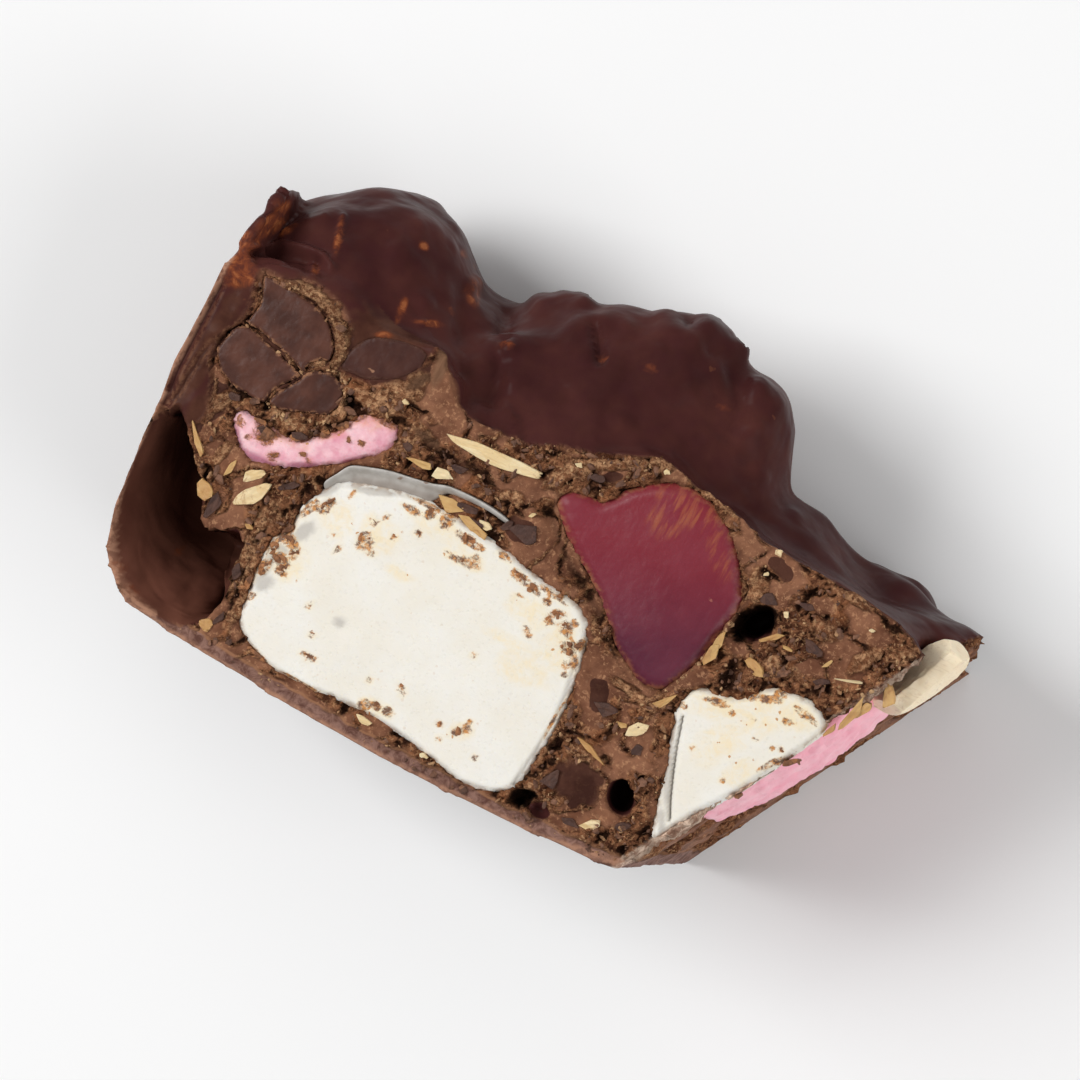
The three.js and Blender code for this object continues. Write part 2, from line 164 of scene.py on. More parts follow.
def channels(tree, colour):
    node = tree.nodes.new("ShaderNodeSeparateColor")
    plug(tree, colour, node.inputs[0])
    return node.outputs


def drawnOut(tree, vector, scale, turned=0):  # stretches and turns what a pattern reads
    node = tree.nodes.new("ShaderNodeMapping")
    plug(tree, vector, node.inputs["Vector"])
    node.inputs["Rotation"].default_value = (0, 0, math.radians(turned))
    node.inputs["Scale"].default_value = scale
    return node.outputs[0]


def newGroup(name, inputs, outputs):  # inputs: name to default value
    tree = bpy.data.node_groups.new(name, "ShaderNodeTree")
    for key, value in inputs.items():
        kind = "NodeSocketVector" if key == "Vector" else "NodeSocketFloat"
        socket = tree.interface.new_socket(name=key, in_out="INPUT", socket_type=kind)
        if key != "Vector":
            socket.default_value = value
    for key in outputs:
        tree.interface.new_socket(name=key, in_out="OUTPUT", socket_type="NodeSocketFloat")
    return tree, tree.nodes.new("NodeGroupInput").outputs, tree.nodes.new("NodeGroupOutput").inputs


def placed(tree, group, **values):
    node = tree.nodes.new("ShaderNodeGroup")
    node.node_tree = group
    for key, value in values.items():
        plug(tree, value, node.inputs[key])
    return node.outputs


def softMottleGroup():  # slow cloudy changes, 0 to 1
    tree, given, result = newGroup("softMottle", {"Vector": 0, "Size": 4.0, "Contrast": 0.3}, ["Value"])
    scale = calc(tree, "DIVIDE", 1.0, given["Size"])
    cloud = noiseAt(tree, given["Vector"], scale, 3.0, 0.55)
    low = calc(tree, "SUBTRACT", 0.5, given["Contrast"])
    high = plus(tree, 0.5, given["Contrast"])
    plug(tree, spread(tree, cloud, low, high), result["Value"])
    return tree


def speckleGroup():  # scattered specks: a share of the cells holds one
    inputs = {"Vector": 0, "Spacing": 1.0, "Share": 0.3, "Radius": 0.3}
    tree, given, result = newGroup("speckle", inputs, ["Mask", "Random"])
    scale = calc(tree, "DIVIDE", 1.0, given["Spacing"])
    shake = tree.nodes.new("ShaderNodeTexNoise")
    plug(tree, given["Vector"], shake.inputs["Vector"])
    plug(tree, times(tree, scale, 2.2), shake.inputs["Scale"])
    reach = tree.nodes.new("ShaderNodeCombineXYZ")
    for place in range(3):
        plug(tree, times(tree, given["Spacing"], 0.55), reach.inputs[place])
    shift = calc(tree, "MULTIPLY", shake.outputs["Color"], reach.outputs[0], "ShaderNodeVectorMath")
    cells = cellsAt(tree, calc(tree, "ADD", given["Vector"], shift, "ShaderNodeVectorMath"), scale)
    parts = channels(tree, cells.outputs["Color"])
    chosen = calc(tree, "LESS_THAN", parts[0], given["Share"])
    radius = times(tree, given["Radius"], spread(tree, parts[1], 0.0, 1.0, 0.45, 1.25))
    inner = times(tree, radius, 0.7)
    inside = spread(tree, cells.outputs["Distance"], inner, radius, 1.0, 0.0)
    plug(tree, times(tree, chosen, inside), result["Mask"])
    plug(tree, parts[2], result["Random"])
    return tree


def crumbGrainGroup():  # the fine broken texture of cut chocolate, as a height in millimetres
    tree, given, result = newGroup("crumbGrain", {"Vector": 0, "Size": 0.5, "Height": 0.1}, ["Height"])
    scale = calc(tree, "DIVIDE", 1.0, given["Size"])
    coarse = cellsAt(tree, given["Vector"], scale).outputs["Distance"]
    fine = noiseAt(tree, given["Vector"], times(tree, scale, 2.6), 2.0, 0.62)
    both = calc(tree, "SUBTRACT", fine, coarse)
    plug(tree, times(tree, both, given["Height"]), result["Height"])
    return tree


def finePoresGroup():  # tiny open pores, as a height in millimetres and a mask of their insides
    inputs = {"Vector": 0, "Size": 0.4, "Depth": 0.04}
    tree, given, result = newGroup("finePores", inputs, ["Height", "Inside"])
    scale = calc(tree, "DIVIDE", 1.0, given["Size"])
    pores = cellsAt(tree, given["Vector"], scale).outputs["Distance"]
    small = cellsAt(tree, given["Vector"], times(tree, scale, 2.3)).outputs["Distance"]
    inside = spread(tree, pores, 0.05, 0.42, 1.0, 0.0)
    foam = times(tree, spread(tree, small, 0.0, 0.5), 0.4)
    height = calc(tree, "SUBTRACT", foam, inside)
    plug(tree, times(tree, height, given["Depth"]), result["Height"])
    plug(tree, inside, result["Inside"])
    return tree


softMottle = softMottleGroup()
speckle = speckleGroup()
crumbGrain = crumbGrainGroup()
finePores = finePoresGroup()


def mottled(tree, spot, size, contrast):
    return placed(tree, softMottle, Vector=spot, Size=size, Contrast=contrast)["Value"]


def specks(tree, spot, spacing, share, radius):
    return placed(tree, speckle, Vector=spot, Spacing=spacing, Share=share, Radius=radius)["Mask"]


def newMaterial(name):  # its tree, its shader, and the place on the piece in millimetres
    material = bpy.data.materials.new(name)
    material.use_nodes = True
    tree = material.node_tree
    tree.nodes.clear()
    shader = tree.nodes.new("ShaderNodeBsdfPrincipled")
    output = tree.nodes.new("ShaderNodeOutputMaterial")
    plug(tree, shader.outputs[0], output.inputs["Surface"])
    place = tree.nodes.new("ShaderNodeTexCoord")
    return material, tree, shader, drawnOut(tree, place.outputs["Object"], (1000, 1000, 1000))


def finishLook(tree, shader, colour, roughness, height, strength):  # heights of the bumps are in millimetres
    plug(tree, colour, shader.inputs["Base Color"])
    plug(tree, roughness, shader.inputs["Roughness"])
    bump = tree.nodes.new("ShaderNodeBump")
    bump.inputs["Distance"].default_value = 0.001
    bump.inputs["Strength"].default_value = strength
    plug(tree, height, bump.inputs["Height"])
    plug(tree, bump.outputs[0], shader.inputs["Normal"])


def letLightIn(shader, weight, reach, depth):  # how far for red, green and blue, and how deep in millimetres
    shader.inputs["Subsurface Weight"].default_value = weight
    shader.inputs["Subsurface Radius"].default_value = reach
    shader.inputs["Subsurface Scale"].default_value = depth * 0.001


def attribute(tree, name):
    node = tree.nodes.new("ShaderNodeAttribute")
    node.attribute_name = name
    return node.outputs["Fac"]


# Making pieces

def nodeShape(name):  # a copy of a CAD solid, merged, in millimetres on the plan
    bm = bmesh.new()
    bm.from_mesh(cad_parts[name].data)
    bmesh.ops.scale(bm, vec=(1000, 1000, 1000), verts=bm.verts)
    bmesh.ops.translate(bm, vec=-plan["shift"], verts=bm.verts)
    bmesh.ops.remove_doubles(bm, verts=bm.verts, dist=0.002)
    return bm


def grow(bm, amount):  # outwards, with the flat faces kept at their height
    bm.normal_update()
    for vert in bm.verts:
        height = vert.co.z
        vert.co += vert.normal * amount
        if height > plan["face"] - 0.05 or height < 0.05:
            vert.co.z = height


def keepBetween(bm, low, high):  # cuts off what is under low or over high, and closes the cuts
    for height, side in ((low, -1), (high, 1)):
        geometry = bm.verts[:] + bm.edges[:] + bm.faces[:]
        spot, out = (0, 0, height), (0, 0, side)
        bmesh.ops.bisect_plane(bm, geom=geometry, dist=1e-4, plane_co=spot, plane_no=out, clear_outer=True)
        bmesh.ops.holes_fill(bm, edges=[edge for edge in bm.edges if edge.is_boundary], sides=0)


def meshOf(name, bm):  # the mesh of a bmesh, which is freed
    mesh = bpy.data.meshes.new(name)
    bm.to_mesh(mesh)
    bm.free()
    return mesh


def inScene(name, data):  # a new object, linked to the scene
    item = bpy.data.objects.new(name, data)
    scene.collection.objects.link(item)
    return item


def append(bm, other):
    mesh = meshOf("appended", other)
    bm.from_mesh(mesh)
    bpy.data.meshes.remove(mesh)


def remeshed(bm, voxel):
    mesh = meshOf("shape", bm)
    holder = inScene("holder", mesh)
    remesh = holder.modifiers.new("remesh", "REMESH")
    remesh.mode = "VOXEL"
    remesh.voxel_size = voxel
    result = bmesh.new()
    result.from_object(holder, bpy.context.evaluated_depsgraph_get())
    bpy.data.objects.remove(holder)
    bpy.data.meshes.remove(mesh)
    result.normal_update()
    return result


def smoothOut(bm, verts, rounds):
    for _ in range(rounds):
        bmesh.ops.smooth_vert(bm, verts=verts, factor=0.5, use_axis_x=True, use_axis_y=True, use_axis_z=True)
    bm.normal_update()


def makeGritty(bm, chosen):  # the faces that chosen(face) picks keep their corners sharp
    gritty = bm.faces.layers.int.new("gritty")
    for face in bm.faces:
        face[gritty] = int(chosen(face))


def refine(bm, chosen):  # halves the edges of the faces that chosen(face) picks
    edges = {edge for face in bm.faces if chosen(face) for edge in face.edges}
    bmesh.ops.subdivide_edges(bm, edges=list(edges), cuts=1, use_grid_fill=True)
    bm.normal_update()


def finishPiece(name, bm, material, slotName, *nodes):
    bmesh.ops.translate(bm, vec=plan["shift"], verts=bm.verts)
    bmesh.ops.scale(bm, vec=(0.001, 0.001, 0.001), verts=bm.verts)
    gritty = bm.faces.layers.int.get("gritty")
    for face in bm.faces:
        face.smooth = not (gritty and face[gritty])
    mesh = meshOf(name, bm)
    piece = inScene(name, mesh)
    mesh.materials.append(material)
    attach(piece, "root")
    if nodes:
        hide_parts(*nodes)
    triangles = sum(len(polygon.vertices) - 2 for polygon in mesh.polygons)
    say(f"{name}: {triangles} triangles")


def crumbLevel(point, size):  # broken lumps of one size: a level for each, and cracks between them
    distances, centres = noise.voronoi(point / size)
    gap = distances[1] - distances[0]
    return noise.cell(centres[0] * 7.31) * 0.5 - 0.45 * (1 - ramp(gap, 0.0, 0.22))


def spotShare(point, spots):  # how strongly a point lies in any of the spots (x, y, long, wide, turn)
    share = 0
    for x, y, long, wide, turned in spots:
        off = Vector((point.x - x, point.y - y))
        if abs(off.x) > long * 1.6 + 1 or abs(off.y) > long * 1.6 + 1:
            continue
        angle = math.radians(turned)
        along = off.x * math.cos(angle) + off.y * math.sin(angle)
        across = off.y * math.cos(angle) - off.x * math.sin(angle)
        edge = 0.25 * noise.noise(point * 1.3)
        share = max(share, 1 - ramp(math.hypot(along / long, across / wide) + edge, 0.55, 1.15))
    return share


def lineDistance(point, path):  # to the nearest place on a line of points on the plan
    nearest = 1e9
    for (x0, y0), (x1, y1) in zip(path, path[1:]):
        run = Vector((x1 - x0, y1 - y0))
        off = Vector((point.x - x0, point.y - y0))
        share = min(1, max(0, off.dot(run) / run.length_squared))
        nearest = min(nearest, (off - run * share).length)
    return nearest


def swell(point, path, width, reach=2.5):  # 1 on a line of points, fading beside it, 0 past its reach
    off = lineDistance(point, path) / width
    return math.exp(-off * off) if off < reach else 0


def rounded(path, steps=4):  # a closed path of points, rounded between them
    line = []
    for number in range(len(path)):
        before, first, second, after = (Vector(path[(number + ahead) % len(path)]) for ahead in (-1, 0, 1, 2))
        handles = first + (second - before) / 6, second - (after - first) / 6
        line += interpolate_bezier(first, *handles, second, steps + 1)[:-1]
    return line


def depthIn(path):  # gives how deep a point lies inside a closed path, under 0 outside it
    line = rounded(path, 6)
    area = sum(one.x * two.y - two.x * one.y for one, two in zip(line, line[1:] + line[:1]))
    side = 1 if area > 0 else -1
    tree = KDTree(len(line))
    for number, place in enumerate(line):
        tree.insert(place.to_3d(), number)
    tree.balance()
    low = Vector((min(place.x for place in line), min(place.y for place in line)))
    high = Vector((max(place.x for place in line), max(place.y for place in line)))

    def depth(point):
        if not (low.x - 3 < point.x < high.x + 3 and low.y - 3 < point.y < high.y + 3):
            return -9
        number, off = tree.find(Vector((point.x, point.y, 0)))[1:]
        run = line[(number + 1) % len(line)] - line[number - 1]
        across = (run.x * (point.y - line[number].y) - run.y * (point.x - line[number].x)) / run.length * side
        return across if off < 0.5 else math.copysign(off, across)
    return depth


def slab(path, low, high):  # a solid with the outline of a closed path
    bm = bmesh.new()
    foot = bm.faces.new([bm.verts.new((place.x, place.y, low)) for place in rounded(path)])
    grown = bmesh.ops.extrude_face_region(bm, geom=[foot])["geom"]
    top = [item for item in grown if isinstance(item, bmesh.types.BMVert)]
    bmesh.ops.translate(bm, vec=(0, 0, high - low), verts=top)
    bmesh.ops.recalc_face_normals(bm, faces=bm.faces)
    return bm


# Outlines on the shown cut face, as the knife left them

outlines = {
    "marshmallow_large": [
        (-19.8, -5.5), (-19.9, -3.8), (-19.3, -2.0), (-18.6, -0.8), (-17.7, 0.2), (-16.4, 0.8), (-14.8, 1.4),
        (-13.0, 2.0), (-11.0, 2.4), (-8.6, 2.6), (-6.0, 2.4), (-3.6, 2.2), (-1.0, 1.9), (1.4, 1.4),
        (4.0, 1.1), (6.0, 0.9), (7.4, 0.0), (8.2, -1.4), (8.8, -3.4), (9.2, -6.0), (9.5, -8.6), (9.4, -11.0),
        (9.2, -13.4), (8.9, -15.6), (8.3, -16.8), (7.0, -17.6), (5.4, -18.0), (3.8, -18.1), (1.8, -17.7),
        (-0.6, -17.3), (-3.4, -17.0), (-6.2, -16.9), (-9.0, -17.0), (-12.0, -17.4), (-15.0, -17.4),
        (-17.2, -17.0), (-19.0, -16.1), (-20.2, -15.0), (-20.5, -13.0), (-20.8, -11.0), (-21.0, -9.0),
        (-20.8, -7.0),
    ],
    "marshmallow_small": [
        (18.0, -2.6), (18.3, -1.2), (19.0, -0.4), (20.2, -0.1), (21.4, 0.0), (22.6, 0.6), (23.5, 1.5),
        (24.2, 2.4), (25.2, 2.9), (26.6, 3.2), (28.2, 3.3), (29.5, 2.9), (30.3, 2.2), (30.4, 1.2),
        (29.8, -0.3), (28.9, -2.0), (28.0, -3.9), (27.1, -5.6), (26.2, -7.2), (25.3, -8.6), (24.3, -10.0),
        (23.4, -11.4), (22.6, -12.8), (21.8, -14.2), (21.2, -13.6), (20.6, -11.6), (20.0, -9.4), (19.3, -7.0),
        (18.6, -4.8),
    ],
    "marshmallow_pink_strip": [
        (-29.1, 0.9), (-28.7, 1.7), (-27.8, 1.8), (-26.8, 1.6), (-25.6, 1.6), (-24.2, 1.6), (-23.0, 1.9),
        (-22.0, 2.6), (-21.0, 3.5), (-20.2, 4.5), (-19.6, 5.5), (-18.6, 6.5), (-17.2, 7.1), (-15.8, 7.0),
        (-15.1, 6.2), (-15.2, 5.0), (-16.0, 3.9), (-17.0, 2.9), (-18.2, 1.8), (-19.6, 0.8), (-21.0, -0.1),
        (-22.4, -0.9), (-23.8, -1.5), (-25.2, -1.9), (-26.5, -2.0), (-27.4, -1.4), (-28.2, -0.5),
        (-28.9, 0.2),
    ],
    "jelly": [
        (0.1, 8.5), (0.9, 9.4), (2.4, 9.8), (3.5, 9.8), (4.5, 10.9), (5.6, 12.3), (6.8, 13.4), (8.0, 14.1),
        (9.6, 14.6), (11.4, 14.5), (13.0, 14.1), (14.3, 13.3), (15.6, 12.3), (16.8, 11.0), (17.8, 9.7),
        (18.6, 8.4), (18.8, 7.4), (18.5, 5.6), (18.3, 3.8), (18.0, 2.2), (17.5, 0.6), (16.9, -0.9),
        (16.2, -2.1), (15.0, -2.6), (13.6, -2.4), (12.2, -1.7), (10.8, -0.8), (9.6, 0.3), (8.6, 1.4),
        (7.2, 2.5), (5.6, 3.6), (4.0, 4.6), (2.6, 5.6), (1.3, 6.7), (0.4, 7.7),
    ],
    "chocolate_button_1": [
        (-32.4, 13.3), (-30.4, 13.3), (-28.8, 13.3), (-27.0, 13.0), (-25.8, 12.6), (-24.9, 12.0),
        (-24.2, 11.2), (-23.7, 10.2), (-23.6, 9.2), (-24.4, 8.9), (-25.1, 8.2), (-25.4, 7.3), (-26.6, 7.7),
        (-27.8, 8.1), (-29.2, 8.4), (-30.6, 8.7), (-31.9, 8.7), (-31.8, 9.6), (-31.6, 10.8), (-32.1, 12.1),
    ],
    "chocolate_button_2": [
        (-32.1, 8.4), (-30.6, 8.4), (-29.2, 8.1), (-27.8, 7.7), (-26.4, 7.3), (-25.4, 7.0), (-25.9, 6.1),
        (-26.6, 5.1), (-27.0, 4.2), (-27.2, 3.2), (-28.6, 3.1), (-30.2, 3.2), (-31.6, 3.6), (-32.6, 4.4),
        (-33.1, 5.5), (-32.9, 7.0),
    ],
    "chocolate_button_3": [
        (-25.0, 7.1), (-24.5, 7.8), (-23.2, 8.3), (-21.8, 8.0), (-21.1, 7.1), (-21.2, 5.6), (-22.1, 4.7),
        (-23.4, 4.2), (-24.6, 3.6), (-25.8, 3.3), (-26.7, 3.4), (-26.6, 4.4), (-26.0, 5.4),
    ],
    "chocolate_button_4": [
        (-22.4, 9.2), (-21.2, 9.3), (-20.0, 9.4), (-18.8, 10.0), (-17.6, 10.7), (-16.6, 11.8), (-16.0, 13.0),
        (-16.2, 14.0), (-17.6, 14.1), (-19.4, 13.7), (-21.0, 13.1), (-22.0, 12.0), (-22.5, 10.6),
    ],
}
film = {  # the skin of the large marshmallow that stayed in the chocolate when the rest sank
    "outer": [
        (-19.0, -0.4), (-18.3, 0.9), (-17.6, 2.0), (-16.0, 2.7), (-14.2, 3.3), (-12.2, 3.7), (-10.4, 4.1),
        (-9.0, 4.6), (-7.0, 4.8), (-4.8, 4.8), (-2.8, 4.5),
    ],
    "inner": [
        (-2.8, 4.1), (-4.8, 4.3), (-7.0, 4.2), (-8.8, 3.9), (-9.6, 2.8), (-10.6, 2.1), (-12.0, 1.8),
        (-13.6, 1.4), (-15.2, 0.8), (-16.8, 0.2), (-18.0, -0.4), (-18.6, -1.1),
    ],
    "foot": 26.0, "voxel": 0.14, "drop": 0.8,
}
zones = {
    "film": film["outer"] + film["inner"],
    "glossy": [  # the corner where poured chocolate reaches the cut face
        (-38.0, 24.0), (-38.0, 4.0), (-37.2, -2.0), (-34.8, -1.6), (-32.6, -2.4), (-31.2, -0.6), (-31.8, 2.2),
        (-33.0, 4.0), (-33.3, 5.8), (-33.0, 7.2), (-32.2, 8.6), (-32.0, 10.4), (-32.6, 12.0), (-32.6, 13.6),
        (-30.2, 13.7), (-28.9, 14.6), (-26.6, 14.5), (-24.8, 13.9), (-23.4, 12.8), (-22.6, 11.5),
        (-22.3, 10.2), (-22.4, 9.1), (-20.2, 9.0), (-18.0, 10.2), (-16.4, 11.8), (-15.4, 15.0), (-13.0, 24.0),
    ],
    "mouth": [  # of the hollow in the corner
        (-35.1, -1.8), (-35.5, -3.6), (-35.6, -5.6), (-35.5, -7.6), (-35.3, -9.6), (-35.0, -12.0),
        (-34.3, -14.2), (-33.3, -16.1), (-32.2, -17.2), (-30.8, -17.9), (-29.2, -18.3), (-27.0, -18.5),
        (-24.6, -18.3), (-23.6, -17.4), (-22.7, -16.0), (-22.6, -14.4), (-22.8, -12.0), (-23.0, -9.6),
        (-23.8, -8.4), (-25.4, -8.9), (-26.4, -9.8), (-27.3, -9.0), (-28.3, -7.9), (-29.6, -6.9),
        (-30.2, -5.2), (-31.5, -3.8), (-32.8, -2.9), (-34.0, -2.0),
    ],
}
depths = {name: depthIn(path) for name, path in {**outlines, **zones}.items()}

# The chocolate

